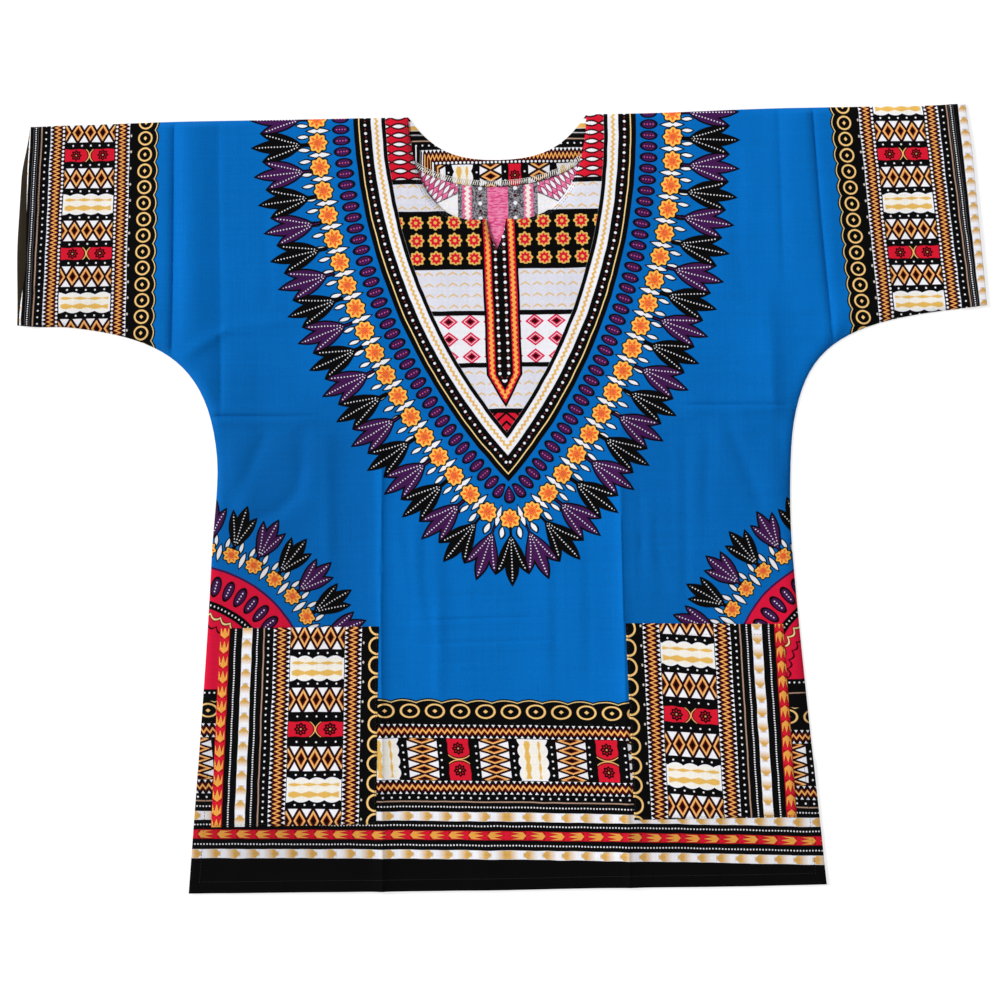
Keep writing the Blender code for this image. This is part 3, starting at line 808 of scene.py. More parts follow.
def cornerPrint(dye, colour, x, y):
    colour = sunPrint(dye, colour, x, y)
    level = hemLine(dye, x, y)
    # the disc's black foot hides the ring band's scallops
    outside = dye.radius(abs(x) - sun["x"], y - sun["y"]) > sun["discHalf"]
    ringed = ringBand(dye, colour, hemLay["scallopAt"] - level, x, hemRings)
    low = dye.under(level, hemLay["scallopAt"] - 3.5)
    return dye.mix(colour, ringed, dye.larger(outside, low))


facingPlan = dict(sleevePlan, period=104.6, diamondHalf=10.8, diamondAt=28.0, dotRowA=14.0, dotRowB=42.6)
facingLay = dict(sleeveLay, middle=314.5, redAt=19.5, corner=-35.3, leafAt=63.5)


def facingPrint(dye, colour, x, y):
    # a strip cut across the sleeve's bands, with a corner towards -X
    lay = facingLay
    colour = dye.paint(colour, "black", 1.0)
    cornered = dye.larger(abs(y - lay["middle"]), lay["corner"] - x)
    along = x - lay["redAt"] + facingPlan["period"] / 2
    colour = ladderBand(dye, colour, cornered, along, facingPlan)
    colour = dotRow(dye, colour, cornered - lay["dotsAt"], along, "sleeve")
    colour = lineAt(dye, colour, cornered - lay["lineAt"], lay["lineHalf"], "dusk")
    colour = dotRow(dye, colour, cornered - lay["finesAt"], y, "facingFine")
    return leafBand(dye, colour, cornered - lay["leafAt"], y, sleeveLeaves)


# ---- cloth finish shared by every panel

cloth = {
    "mottle": 0.18, "slubs": 0.14, "grain": 0.22, "speckles": 0.14, "insideSpeckles": 0.2, "base": 0.66,
    "threadRise": 0.6, "slubRise": 0.3, "bump": 0.35, "bumpDepth": 0.00012, "drift": 1.5,
    "roughness": 0.85, "shine": 0.05, "sheen": 0.012, "sheenRoughness": 0.5,
}


def weave(dye, place, colour, speckles):
    # cotton over the print: slubs both ways, grain and fine threads
    mottle = dye.speckle(place, 14, 3.0)
    slubsAlong = dye.speckle(place, 90, 2.0, stretch=(0.12, 6, 1))
    slubsAcross = dye.speckle(place, 90, 2.0, stretch=(6, 0.12, 1))
    fibre = dye.speckle(place, 1500, 1.0)
    grain = dye.speckle(place, 520, 2.0)
    shade = mottle * cloth["mottle"] + (slubsAlong + slubsAcross) * cloth["slubs"] + grain * cloth["grain"]
    shade = shade + fibre * speckles + (cloth["base"] - speckles / 2)
    tint = dye.strand("ShaderNodeCombineColor", inputs={0: shade, 1: shade, 2: shade})
    fine = dye.speckle(place, 900, 0.0, stretch=(1, 1.6, 1))
    height = fine * cloth["threadRise"] + slubsAlong * cloth["slubRise"] + slubsAcross * cloth["slubRise"]
    bump = {"Strength": cloth["bump"], "Distance": cloth["bumpDepth"], "Height": height}
    return dye.surface({
        "Base Color": dye.mix(colour, tint, 1.0, "MULTIPLY"),
        "Roughness": cloth["roughness"],
        "Specular IOR Level": cloth["shine"],
        "Sheen Weight": cloth["sheen"],
        "Sheen Roughness": cloth["sheenRoughness"],
        "Normal": dye.strand("ShaderNodeBump", inputs=bump),
    })


# painted shade: where and how strongly the body's sides are darkened
sideShadeLay = {
    "below": (110, 90), "rightOf": (121, 5), "right": 0.125, "leftOf": (-126, 5), "left": 0.165,
    "flankBelow": (200, 100), "flankLeftOf": (-185, 70), "flank": 0.07,
}


def paintedSideShade(dye, colour, x, y):
    # painted shade: the body's sides are painted a little darker than its middle, that at -X the more,
    # standing in for broad shading across the body
    low = dye.under(y, *sideShadeLay["below"])
    right = dye.both(low, dye.over(x, *sideShadeLay["rightOf"])) * sideShadeLay["right"]
    left = dye.both(low, dye.under(x, *sideShadeLay["leftOf"])) * sideShadeLay["left"]
    flank = dye.both(dye.under(y, *sideShadeLay["flankBelow"]), dye.under(x, *sideShadeLay["flankLeftOf"]))
    flank = flank * sideShadeLay["flank"]
    return dye.mix(colour, inks["black"], right + left + flank)


def printed(name, *layers, deep=True):
    # a panel's material: blue ground, then the prints that reach this zone, a little out of line
    dye = Dye(name)
    place, x, y = dye.placeAndXY()
    colour = inks["blue"]
    if layers:
        drift = dye.node("ShaderNodeTexNoise", inputs={"Vector": place, "Scale": 45, "Detail": 1.0})
        parts = dye.node("ShaderNodeSeparateColor", inputs={0: Strand(dye, drift.outputs[1])})
        x = x + (Strand(dye, parts.outputs[0]) - 0.5) * cloth["drift"]
        y = y + (Strand(dye, parts.outputs[1]) - 0.5) * cloth["drift"]
    for layer in layers:
        colour = layer(dye, colour, x, y)
    # painted shade: deep darkens the body's sides below the chest
    if deep:
        colour = paintedSideShade(dye, colour, x, y)
    return weave(dye, place, colour, cloth["speckles"])


insideLay = {
    "middle": 2.0, "whiteHalf": 78, "greyHalf": 40, "pinkBand": (26, 35.5), "waveAt": 31.5,
    "dotsAt": 17.5, "heartHalf": 10.3, "seedsFrom": 302, "seedsCorner": 61, "seedPitch": (13.0, 5.6),
    "seedHalf": (5.8, 1.9), "cuffFrom": 430, "lowFrom": -180,
}


def wrongSidePrint(dye, colour, place, x, y):
    # the yoke's print shows through, faded and heathered, on the inside of the back
    side = abs(x - insideLay["middle"])
    grains = dye.maths("MULTIPLY_ADD", dye.speckle(place, 620, 1.0), 5.5, -2.3, clamp=True)
    streaks = dye.speckle(place, 520, 1.0, stretch=(0.4, 1.3, 1))
    streaks = dye.maths("MULTIPLY_ADD", streaks, 4.5, -1.75, clamp=True)
    heather = dye.mix(inks["paleGrey"], inks["fadedBlack"], grains)
    blush = dye.mix(inks["deepPink"], inks["palePink"], streaks)
    white = dye.under(side, insideLay["whiteHalf"])
    colour = dye.paint(colour, "white", white)
    fold = dye.away(side, 17.0) * 0.7 + y
    colour = dye.paint(colour, "cream", dye.both(dye.under(dye.away(fold, 8.2), 0.8), white))
    colour = dye.mix(colour, heather, dye.under(side, insideLay["greyHalf"]))
    colour = dye.mix(colour, blush, dye.band(side, *insideLay["pinkBand"]))
    wave = dye.maths("MULTIPLY_ADD", dye.away(y, 5.0), 0.9, side - insideLay["waveAt"])
    colour = dye.paint(colour, "cream", dye.under(abs(wave), 2.1, 0.9))
    dotted = side - insideLay["dotsAt"]
    colour = dotRow(dye, colour, dotted, y, "inside")
    colour = dotRow(dye, colour, dotted, y - dotRows["inside"][0] / 2, "insideBetween", "maroon")
    colour = dye.mix(colour, blush, dye.under(side, insideLay["heartHalf"]))
    # faded seeds by the facing's ends
    corner = insideLay["seedsCorner"]
    foot = dye.larger((side - corner) * 1.15, (corner - side) * 0.45) + insideLay["seedsFrom"]
    rise = y - foot
    outer = dye.over(side, insideLay["greyHalf"])
    patch = dye.both(dye.over(rise, 0), outer)
    colour = dye.mix(colour, heather, dye.both(dye.over(rise, -1.6), outer))
    colour = dye.mix(colour, blush, patch)
    long, wide = insideLay["seedPitch"]
    seedAlong = dye.away(y * 0.8 - side * 0.6, long)
    seedAcross = dye.away(side * 0.8 + y * 0.6, wide)
    seed = blade(dye, seedAlong, seedAcross, 0.0, *insideLay["seedHalf"])
    colour = dye.paint(colour, "maroon", dye.both(patch, dye.under(seed, 0.7)) * 0.8)
    colour = dye.paint(colour, "white", dye.both(patch, dye.under(seed, -0.3)))
    # the black cuffs and foot show through as a dull brown
    colour = dye.paint(colour, "olive", dye.over(abs(x), insideLay["cuffFrom"]))
    return dye.paint(colour, "olive", dye.under(y, insideLay["lowFrom"]))


def wrongSide(name):
    dye = Dye(name)
    place, x, y = dye.placeAndXY()
    colour = wrongSidePrint(dye, inks["fadedBlue"], place, x, y)
    return weave(dye, place, colour, cloth["insideSpeckles"])


materials = {
    "ground": printed("groundCloth"),
    "sleeve": printed("sleevePrint", sleevePrint),
    "yoke": printed("yokePrint", yokePrint),
    "corner": printed("sunPrint", cornerPrint),
    "hem": printed("hemPrint", hemPrint),
    "pocket": printed("pocketPrint", pocketPrint, deep=False),
    "facing": printed("facingPrint", facingPrint, deep=False),
    "wrong": wrongSide("wrongSide"),
}
print("dyes mixed:", {n: len(m.node_tree.nodes) for n, m in materials.items()})


# ---- relief: packing folds and creases pressed into the shirt, in millimetres

# A crease runs through (x, y, height) points, down or towards +X. near is how wide it falls on its
# -X or lower side, far on the other, and sharp how steeply. One with a reach is a trough between two
# swells that die out over it, the far one uneven times as high.
creases = [
    # sleeve folds, dark on one side and bright on the other, with the cloth swelling beyond
    {"line": [(-319.7, 392, 3.4), (-322.5, 270, 4.2), (-326, 165, 4.0), (-328, 136, 0)],
     "near": 4.0, "far": 9, "reach": 28, "sharp": 1.0},
    {"line": [(-306, 392, 2.2), (-307, 260, 3.0), (-308, 190, 2.0), (-308, 150, 0)],
     "near": 13, "far": 22, "sharp": 2.0},
    {"line": [(318, 392, 3.0), (325.5, 270, 3.2), (334, 168, 3.0), (336, 142, 0)],
     "near": 4.0, "far": 5.0, "reach": 14, "sharp": 1.0},
    {"line": [(302, 392, 2.4), (306, 260, 3.4), (309, 190, 2.6), (310, 150, 0)],
     "near": 17, "far": 15, "sharp": 2.0},
    # the body's long packing folds
    {"line": [(-118, 70, 0), (-118.5, 30, 2.8), (-122, -100, 3.4), (-125, -392, 2.4)],
     "near": 7.5, "far": 4.6, "sharp": 0.9},
    {"line": [(119, 40, 0), (119, 14, 3.4), (120, -110, 4.0), (121, -200, 3.0), (122, -392, 2.2)],
     "near": 8.5, "far": 5.2, "sharp": 0.9},
    # chest folds, deepest under the arms
    {"line": [(-302, 92, 0), (-292, 91.3, 3.6), (-262, 90.8, 3.0), (-200, 89.8, 1.9), (-178, 89.6, 0)],
     "near": 2.4, "far": 3.0, "reach": 10},
    {"line": [(178, 95.2, 0), (196, 94.6, 2.4), (226, 94.2, 2.2), (275, 93.2, 1.6), (298, 93, 0)],
     "near": 2.2, "far": 2.8, "reach": 9},
    # upright troughs beside the sleeves, deepening under the arms
    {"line": [(-275.5, 388, 2.0), (-276, 330, 2.8), (-276.5, 240, 2.4), (-277, 190, 2.6),
              (-277.5, 150, 5.4), (-278, 112, 6.2), (-279, 84, 0)],
     "near": 15, "far": 3.4, "reach": 34, "uneven": 0.3, "sharp": 1.1},
    {"line": [(284, 392, 1.6), (285, 330, 1.8), (286, 250, 1.5), (287, 205, 0)],
     "near": 5, "far": 9, "reach": 15},
    {"line": [(270, 222, 0), (272, 182, 2.4), (273.4, 135, 4.4), (274, 100, 4.0), (276, 70, 0)],
     "near": 20, "far": 9.5, "sharp": 1.2},
    {"line": [(185.5, 78, 0), (184.5, 30, 1.8), (183, -80, 2.0), (183, -118, 0)],
     "near": 3.5, "far": 5, "reach": 16},
    {"line": [(53, 25, 0), (53, -30, 1.3), (52, -150, 1.4), (52, -205, 0)],
     "near": 4, "far": 6, "reach": 16},
    {"line": [(-172, 85, 0), (-173, 40, 1.6), (-174, -40, 2.4), (-172, -95, 0)], "near": 7, "far": 8},
    {"line": [(-72, 4, 0), (-76, -25, 1.5), (-80, -70, 1.9), (-74, -110, 1.2), (-72, -135, 0)],
     "near": 4, "far": 6, "reach": 14},
    {"line": [(-92, 2, 0), (-96, -30, 1.2), (-90, -80, 1.5), (-94, -130, 0)],
     "near": 4, "far": 5, "reach": 12},
    {"line": [(-64, 0, 0), (-64, -60, 1.2), (-65, -150, 2.2), (-66, -185, 2.0), (-66, -208, 0)],
     "near": 4, "far": 7},
    {"line": [(86, -10, 0), (84, -60, 1.2), (85, -150, 1.4), (84, -200, 0)],
     "near": 5, "far": 7, "reach": 16},
    {"line": [(138, 24, 0), (140, -20, 1.9), (139, -80, 1.6), (142, -118, 0)],
     "near": 4, "far": 5, "reach": 12},
    {"line": [(156, 12, 0), (154, -40, 1.6), (158, -80, 1.4), (157, -112, 0)],
     "near": 4, "far": 5, "reach": 12},
    {"line": [(-228, 330, 0), (-231, 280, 1.2), (-228, 220, 1.2), (-232, 180, 0)],
     "near": 8, "far": 10, "reach": 26},
    {"line": [(238, 372, 0), (243, 320, 1.4), (240, 250, 1.4), (246, 180, 0)],
     "near": 9, "far": 9, "reach": 26},
    # level marks across the belly
    {"line": [(-105, -116, 0), (-60, -116, 1.2), (20, -115, 1.2), (56, -115, 0)],
     "near": 2.4, "far": 3, "reach": 9},
    {"line": [(-100, -139, 0), (-50, -139, 1.1), (30, -138, 1.0), (52, -138, 0)],
     "near": 2.4, "far": 3, "reach": 9},
    # slanting swell into the sleeve at -X
    {"line": [(-322, 146, 0), (-300, 160, 2.6), (-271, 178, 2.6), (-215, 184, 1.6), (-180, 186, 0)],
     "near": 5, "far": 6},
    # fans below the chest folds
    {"line": [(-193, 84, 0), (-196, 66, 3.0), (-198, 36, 4.0), (-203, 14, 3.4), (-222, -4, 3.4),
              (-250, -16, 3.0), (-272, -22, 0)],
     "near": 14, "far": 8, "reach": 27},
    {"line": [(-234, 86, 0), (-238, 64, 2.4), (-249, 40, 2.8), (-264, 12, 2.0), (-276, -8, 0)],
     "near": 11, "far": 9, "reach": 24},
    {"line": [(-280, 82, 0), (-277, 50, 2.2), (-273, 10, 2.0), (-271, -24, 0)],
     "near": 5, "far": 9, "reach": 18},
    {"line": [(224, 90, 0), (232, 66, 2.6), (245, 32, 3.0), (256, 4, 2.6), (262, -20, 0)],
     "near": 9, "far": 10, "reach": 24},
    {"line": [(206, 88, 0), (208, 50, 1.6), (204, 0, 1.6), (208, -40, 0)],
     "near": 6, "far": 9, "reach": 20},
    {"line": [(276, 88, 0), (281, 50, 1.8), (284, 10, 1.8), (286, -20, 0)],
     "near": 6, "far": 8, "reach": 18},
    # soft drags under the arms and by the neck
    {"line": [(-392, 206, 0), (-352, 178, 2.4), (-325, 150, 2.4), (-305, 100, 0)],
     "near": 8, "far": 10, "reach": 24},
    {"line": [(400, 210, 0), (362, 184, 2.2), (338, 155, 2.4), (316, 108, 0)],
     "near": 8, "far": 10, "reach": 24},
    {"line": [(-96, 300, 0), (-84, 268, 1.2), (-60, 240, 1.1), (-40, 222, 0)],
     "near": 6, "far": 8, "reach": 16},
    {"line": [(96, 312, 0), (88, 280, 1.2), (66, 246, 1.1), (44, 226, 0)],
     "near": 6, "far": 8, "reach": 16},
]
relief = {
    "sharp": 1.25, "waveRise": 2.1, "waveWide": 34, "waveLong": 120, "waveSlice": 3.7, "crumpleRise": 0.3,
    "crumpleWide": 13, "crumpleSlice": 8.1, "seamFade": 6, "boxShare": 1.9, "boxWide": 1.4,
}


def creaseRise(crease, x, y):
    best = None
    for (ax, ay, ah), (bx, by, bh) in zip(crease["line"], crease["line"][1:]):
        length = math.hypot(bx - ax, by - ay)
        along = ((x - ax) * (bx - ax) + (y - ay) * (by - ay)) / length
        off = ((bx - ax) * (y - ay) - (by - ay) * (x - ax)) / length
        share = min(max(along / length, 0), 1)
        past = abs(along - share * length)
        if best is None or math.hypot(off, past) < best[0]:
            best = (math.hypot(off, past), off, past, ah + (bh - ah) * share)
    off, past, height = best[1:]
    wide = crease["near"] if off < 0 else crease["far"]
    sharp = crease.get("sharp", relief["sharp"])
    peak = math.exp(-((abs(off) / wide) ** sharp)) * math.exp(-((past / wide) ** 2))
    if "reach" not in crease:
        return height * peak
    if off > 0:
        height *= crease.get("uneven", 1)
    return height * (1 - peak) * math.exp(-((off / crease["reach"]) ** 2) - (past / crease["reach"]) ** 2)


for crease in creases:
    # the box outside which the crease is too low to count
    wide = crease.get("reach", max(crease["near"], crease["far"]) * relief["boxWide"]) * relief["boxShare"]
    xs, ys = ([spot[axis] for spot in crease["line"]] for axis in (0, 1))
    crease["box"] = (min(xs) - wide, max(xs) + wide, min(ys) - wide, max(ys) + wide)


def reliefAt(x, y):
    # height above the plain panel; long upright waves, small crumples, then each crease
    wave = noise.noise(Vector((x / relief["waveWide"], y / relief["waveLong"], relief["waveSlice"])))
    crumpled = Vector((x / relief["crumpleWide"], y / relief["crumpleWide"], relief["crumpleSlice"]))
    crumple = noise.noise(crumpled)
    total = (wave + 1) * relief["waveRise"] / 2 + (crumple + 1) * relief["crumpleRise"] / 2
    for crease in creases:
        left, right, low, high = crease["box"]
        if left < x < right and low < y < high:
            total += creaseRise(crease, x, y)
    return total


# ---- cloth panels: thin walls on the solids' upper sides

def panelMesh(node, cuts=0):
    # the faces of a solid that look up, cut finer
    mesh = bmesh.new()
    mesh.from_mesh(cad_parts[node].data)
    bmesh.ops.remove_doubles(mesh, verts=mesh.verts, dist=0.01 * mm)
    mesh.normal_update()
    hidden = [face for face in mesh.faces if face.normal.z < 0.5]
    bmesh.ops.delete(mesh, geom=hidden, context="FACES")
    if cuts:
        bmesh.ops.subdivide_edges(mesh, edges=mesh.edges, cuts=cuts, use_grid_fill=True)
    return mesh


def smoothRise(mesh, rounds):
    inner = [vert for vert in mesh.verts if not vert.is_boundary]
    for _ in range(rounds):
        bmesh.ops.smooth_vert(mesh, verts=inner, factor=0.5, use_axis_z=True)


cutting = {"beside": 8, "past": 6, "snap": 0.05}


def cutAlong(mesh, start, end, offsets):
    # rows of vertices beside a line, so that a narrow fold has points to bend at
    ax, ay = start
    bx, by = end
    length = math.hypot(bx - ax, by - ay)
    side = Vector((-(by - ay) / length, (bx - ax) / length, 0))
    for offset in offsets:
        origin = Vector((ax, ay, 0)) * mm + side * (offset * mm)
        close = []
        for face in mesh.faces:
            middle = face.calc_center_median()
            away = (middle - origin).dot(side) / mm
            along = (middle - origin).dot(Vector((bx - ax, by - ay, 0)) / length) / mm
            if abs(away) < cutting["beside"] and -cutting["past"] < along < length + cutting["past"]:
                close.append(face)
        parts = {part for face in close for part in (face, *face.edges, *face.verts)}
        cutWith(mesh, list(parts), origin, side)


def cutWith(mesh, parts, origin, side):
    bmesh.ops.bisect_plane(mesh, geom=parts, dist=cutting["snap"] * mm, plane_co=origin, plane_no=side)


def gridCut(mesh, cell):
    # even cells over a flat panel, so that its prints meet where they should
    low, high = cadBox
    for axis in (0, 1):
        side = Vector((1 - axis, axis, 0))
        for k in range(1, int((high[axis] - low[axis]) / (cell * mm)) + 1):
            origin = side * (low[axis] + k * cell * mm)
            cutWith(mesh, [*mesh.verts, *mesh.edges, *mesh.faces], origin, side)


def rimPoints(mesh, step=0.6):
    # points every step millimetres along the panel's edge
    found = []
    for edge in mesh.edges:
        if edge.is_boundary:
            a, b = (vert.co for vert in edge.verts)
            parts = max(1, round((b - a).length / (step * mm)))
            found += [a.lerp(b, k / parts) for k in range(parts)]
    return found


def nearestTree(points):
    tree = kdtree.KDTree(len(points))
    for index, point in enumerate(points):
        tree.insert((point.x, point.y, 0), index)
    tree.balance()
    return tree


def eased(distance, width):
    return (1 - min(distance / width, 1)) ** 2


def ramp(value, start, end):
    share = min(max((value - start) / (end - start), 0), 1)
    return share * share * (3 - 2 * share)


# how the laid shirt strays from its plain cut, in millimetres: it lies a little over to +X
stray = {
    "left": {
        "side": 5.0, "sideFade": (180, 280), "cuff": 0.0, "corner": 5.0,
        "shoulder": -2.0, "shoulderFrom": (300, 430), "tip": -3.0, "tipTop": -1.0,
    },
    "right": {
        "side": 3.0, "sideFade": (90, 170), "cuff": 3.2, "corner": -2.0,
        "shoulder": 3.0, "shoulderFrom": (130, 300), "tip": 0.0, "tipTop": 1.4,
    },
    "sideFrom": (150, 280),
    "sideFoot": (-50, 55),
    "cuffFrom": (400, 470),
    "cornerFrom": (335, 385),
    "shoulderHigh": (150, 370),
    "tipFrom": (432, 472),
    "hemDrop": 1.9,
    "hemFrom": (60, 260),
    "hemFade": (-375, -335),
}
# the front's cuff at -X bows the other way, so that the back's wrong side shows as a crescent
frontCuff = {"bow": 2.0, "foot": -10.3, "footFade": (190, 262), "corner": -3.5, "from": (430, 470)}


def strayAt(x, y):
    lie = stray["right" if x > 0 else "left"]
    out = abs(x)
    across = lie["side"] * ramp(out, *stray["sideFrom"]) * ramp(y, *stray["sideFoot"])
    across *= 1 - ramp(y, *lie["sideFade"])
    across += (lie["cuff"] + lie["corner"] * ramp(y, *stray["cornerFrom"])) * ramp(out, *stray["cuffFrom"])
    high = ramp(y, *stray["shoulderHigh"])
    up = lie["shoulder"] * ramp(out, *lie["shoulderFrom"]) * high
    up += (lie["tip"] + (lie["tipTop"] - lie["tip"]) * high) * ramp(out, *stray["tipFrom"])
    up -= stray["hemDrop"] * ramp(x, *stray["hemFrom"]) * (1 - ramp(y, *stray["hemFade"]))
    return across, up


def cuffBow(x, y):
    bow = frontCuff["bow"] + frontCuff["foot"] * (1 - ramp(y, *frontCuff["footFade"]))
    bow += frontCuff["corner"] * ramp(y, *stray["cornerFrom"])
    return bow * ramp(-x, *frontCuff["from"])


def layOut(mesh, bowed):
    for vert in mesh.verts:
        x, y = vert.co.x / mm, vert.co.y / mm
        across, up = strayAt(x, y)
        if bowed:
            across += cuffBow(x, y)
        vert.co.x += across * mm
        vert.co.y += up * mm


edges = {
    "turned": 13.0,  # the cuffs' and hem's turned-up width
    "turnedEnd": 0.5,  # half the width of the step where it ends
    "turnedRise": 0.40,
    "seamRoll": 6.0,
    "seamDrop": 0.55,
    "rimRoll": 2.0,
    "rimDrop": 0.28,
    "ventTop": -262,
    "hemY": -383,
    "cuffX": 463,
    "neckX": 3,
    "neckHalf": 92,
    "neckFoot": 240,
    "neckTop": 386.5,
    "roundWide": 0.22,
    "roundFrom": 50,  # degrees between two faces
}


def rimKind(point):
    x, y = point.x / mm, point.y / mm
    if y < edges["hemY"] or abs(x) > edges["cuffX"]:
        return "turned"
    if abs(x - edges["neckX"]) < edges["neckHalf"] and edges["neckFoot"] < y < edges["neckTop"]:
        return "neck"
    return "vent" if y < edges["ventTop"] else "seam"


def edgeRise(kind, away):
    if kind == "seam":
        return -edges["seamDrop"] * eased(away, edges["seamRoll"])
    rise = -edges["rimDrop"] * eased(away, edges["rimRoll"])
    if kind == "turned":
        rise += edges["turnedRise"] * min(max(edges["turned"] + edges["turnedEnd"] - away, 0), 1)
    return rise


def objectOf(mesh, name):
    data = bpy.data.meshes.new(name)
    mesh.to_mesh(data)
    made = bpy.data.objects.new(name, data)
    bpy.context.collection.objects.link(made)
    return made


def oneZone(point):
    return 0


def panelPiece(mesh, name, node, slots, thick, zoneOf=oneZone, rimSlot=0):
    # slots: one material for each zone, then one for each zone's underside
    for face in mesh.faces:
        face.smooth = True
        face.material_index = zoneOf(face.calc_center_median() / mm)
    piece = objectOf(mesh, name)
    for slot in slots:
        piece.data.materials.append(materials[slot])
    wall = piece.modifiers.new("wall", "SOLIDIFY")
    wall.thickness = thick * mm
    wall.offset = -1
    wall.material_offset = len(slots) // 2
    wall.material_offset_rim = rimSlot
    rim = piece.modifiers.new("rim", "BEVEL")
    rim.width = edges["roundWide"] * mm
    rim.segments = 1
    rim.limit_method = "ANGLE"
    rim.angle_limit = math.radians(edges["roundFrom"])
    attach(piece, "root")
    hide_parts(node)
    return piece


shirtZones = ("ground", "sleeve", "yoke", "corner", "hem")
wrongSides = ("wrong",) * len(shirtZones)
zones = {
    "sleeveFrom": 322, "sleeveFoot": 100, "hemHalf": 210, "hemOver": 8, "hemUnder": 9, "plainHalf": 130,
    "plainTop": -150, "fringe": 112,
}


def zoneNameOf(point):
    # which of the shirt's prints covers a place, in millimetres
    side = abs(point.x)
    if side > zones["sleeveFrom"] and point.y > zones["sleeveFoot"]:
        return "sleeve"
    level = point.y + point.x * (hemLay["dip"] + hemLay["bow"] * point.x)
    if level < hemLay["scallopAt"] + zones["hemOver"] and side < zones["hemHalf"]:
        return "hem"
    if level < hemLay["scallopAt"] - zones["hemUnder"]:
        return "hem"
    if side < zones["plainHalf"] and point.y < zones["plainTop"]:
        return "ground"
    if math.hypot(sun["x"] - side, point.y - sun["y"]) < sun["discHalf"] + zones["fringe"]:
        return "corner"
    side = abs(point.x - yoke["axisX"] + (point.y - yoke["axisY"]) * yoke["lean"])
    down = yoke["arcY"] - point.y
    if math.hypot(side + yoke["arcOut"], down) < yoke["arcRadius"] + zones["fringe"]:
        return "yoke"
    return "ground"


def zoneOfShirt(point):
    return shirtZones.index(zoneNameOf(point))


front = {
    "cuts": 4,
    "thick": 0.7,
    "smoothing": 14,
    "hemLines": [((-319, -385), (0, -387)), ((0, -387), (319, -385))],
    "hemCuts": (1.2, 12.4, 13.5),
    "cuffLines": [((-475, 189), (-468, 387)), ((470, 387), (486, 189))],
    "cuffCuts": (-13.5, -12.4, -1.2),
    "foldLines": [
        ((-319.7, 387), (-326, 150)), ((318, 387), (334, 160)),
        ((-118, 60), (-125, -387)), ((119, 40), (122, -387)),
    ],
    "foldCuts": (-8, -4.5, -2.0, 0, 2.0, 4.5, 8),
    "fineLines": [
        ((-300, 91.8), (-180, 89.6)), ((180, 95.2), (296, 93)), ((-100, -116), (54, -115)),
        ((-96, -139), (50, -138)), ((-275.5, 385), (-278, 96)), ((284, 385), (287, 210)),
    ],
    "fineCuts": (-4, -1.8, 0, 1.8, 4),
}


def cutLines(mesh, kind):
    for start, end in front[kind + "Lines"]:
        cutAlong(mesh, start, end, front[kind + "Cuts"])


frontMesh = panelMesh("front", front["cuts"])
plainFront = BVHTree.FromBMesh(frontMesh)
smoothRise(frontMesh, front["smoothing"])
cutLines(frontMesh, "hem")
cutLines(frontMesh, "cuff")
layOut(frontMesh, bowed=True)
cutLines(frontMesh, "fold")
cutLines(frontMesh, "fine")
rims = rimPoints(frontMesh)
rimTree = nearestTree(rims)
rimKinds = [rimKind(point) for point in rims]
for vert in frontMesh.verts:
    found, index, away = rimTree.find((vert.co.x, vert.co.y, 0))
    kind, away = rimKinds[index], away / mm
    rise = reliefAt(vert.co.x / mm, vert.co.y / mm)
    if kind in ("seam", "neck"):
        rise *= min(away / relief["seamFade"], 1)
    vert.co.z += (rise + edgeRise(kind, away)) * mm
frontTree = BVHTree.FromBMesh(frontMesh)
slots = shirtZones + wrongSides
frontPiece = panelPiece(frontMesh, "front_cloth", "front", slots, front["thick"], zoneOfShirt)
print("front laid:", len(frontMesh.faces), "faces")


def dropOn(tree, x, y):
    # where a plumb line through x and y, in metres, meets the cloth, and the cloth's normal there
    return tree.ray_cast(Vector((x, y, 50 * mm)), Vector((0, 0, -1)))[:2]


back = {"thick": 1.0, "cell": 6.0}
backMesh = panelMesh("back")
gridCut(backMesh, back["cell"])
layOut(backMesh, bowed=False)
slots = wrongSides + shirtZones
backPiece = panelPiece(backMesh, "back_cloth", "back", slots, back["thick"], zoneOfShirt, len(wrongSides))

facing = {
    "cuts": 2, "thick": 0.7, "raise": 3.0, "raiseFrom": 343, "raiseOver": 30, "middle": 3.0, "half": 100,
}
facingMesh = panelMesh("back_neck_facing", facing["cuts"])
for vert in facingMesh.verts:
    # its lower edge is cut a little higher at the middle
    x, y = vert.co.x / mm, vert.co.y / mm
    low = min(max((facing["raiseFrom"] - y) / facing["raiseOver"], 0), 1)
    low *= max(1 - ((x - facing["middle"]) / facing["half"]) ** 2, 0)
    vert.co.y += facing["raise"] * low * mm
slots = ("facing", "wrong")
facingPiece = panelPiece(facingMesh, "facing_cloth", "back_neck_facing", slots, facing["thick"])

pocket = {
    "cuts": 4,
    "thick": 0.7,
    "smoothing": 6,
    "sink": 0.3,
    "cadEdges": (123.5, 0.0306, 280.0, 0.0638),
    "leftTop": (1.9, 2.6),  # how much higher the mouth lies at its inner and its outer corner
    "rightTop": (0.8, -2.8),
    "roll": 0.45,
    "rollWide": 3.0,
    "mouthDeep": 5,
    "mouthRoll": 1.6,
    "mouthHem": 12,
    "mouthRise": 0.35,
}


def pocketPlace(x, y):
    # where a point of the plain pocket lies on the shirt
    side = "right" if x > 0 else "left"
    drop = pocketLay["topY"] - y
    innerAt, innerLean, outerAt, outerLean = pocket["cadEdges"]
    wide = outerAt + outerLean * drop - innerAt - innerLean * drop
    share = (abs(x) - innerAt - innerLean * drop) / wide
    innerAt, innerLean, outerAt, outerLean = pocketLay[side]
    out = (innerAt + innerLean * drop) * (1 - share) + (outerAt + outerLean * drop) * share
    inner, outer = pocket[side + "Top"]
    high = 1 - drop / (pocketLay["topY"] - pocketLay["footY"])
    return math.copysign(out, x), y + (inner + (outer - inner) * share) * high


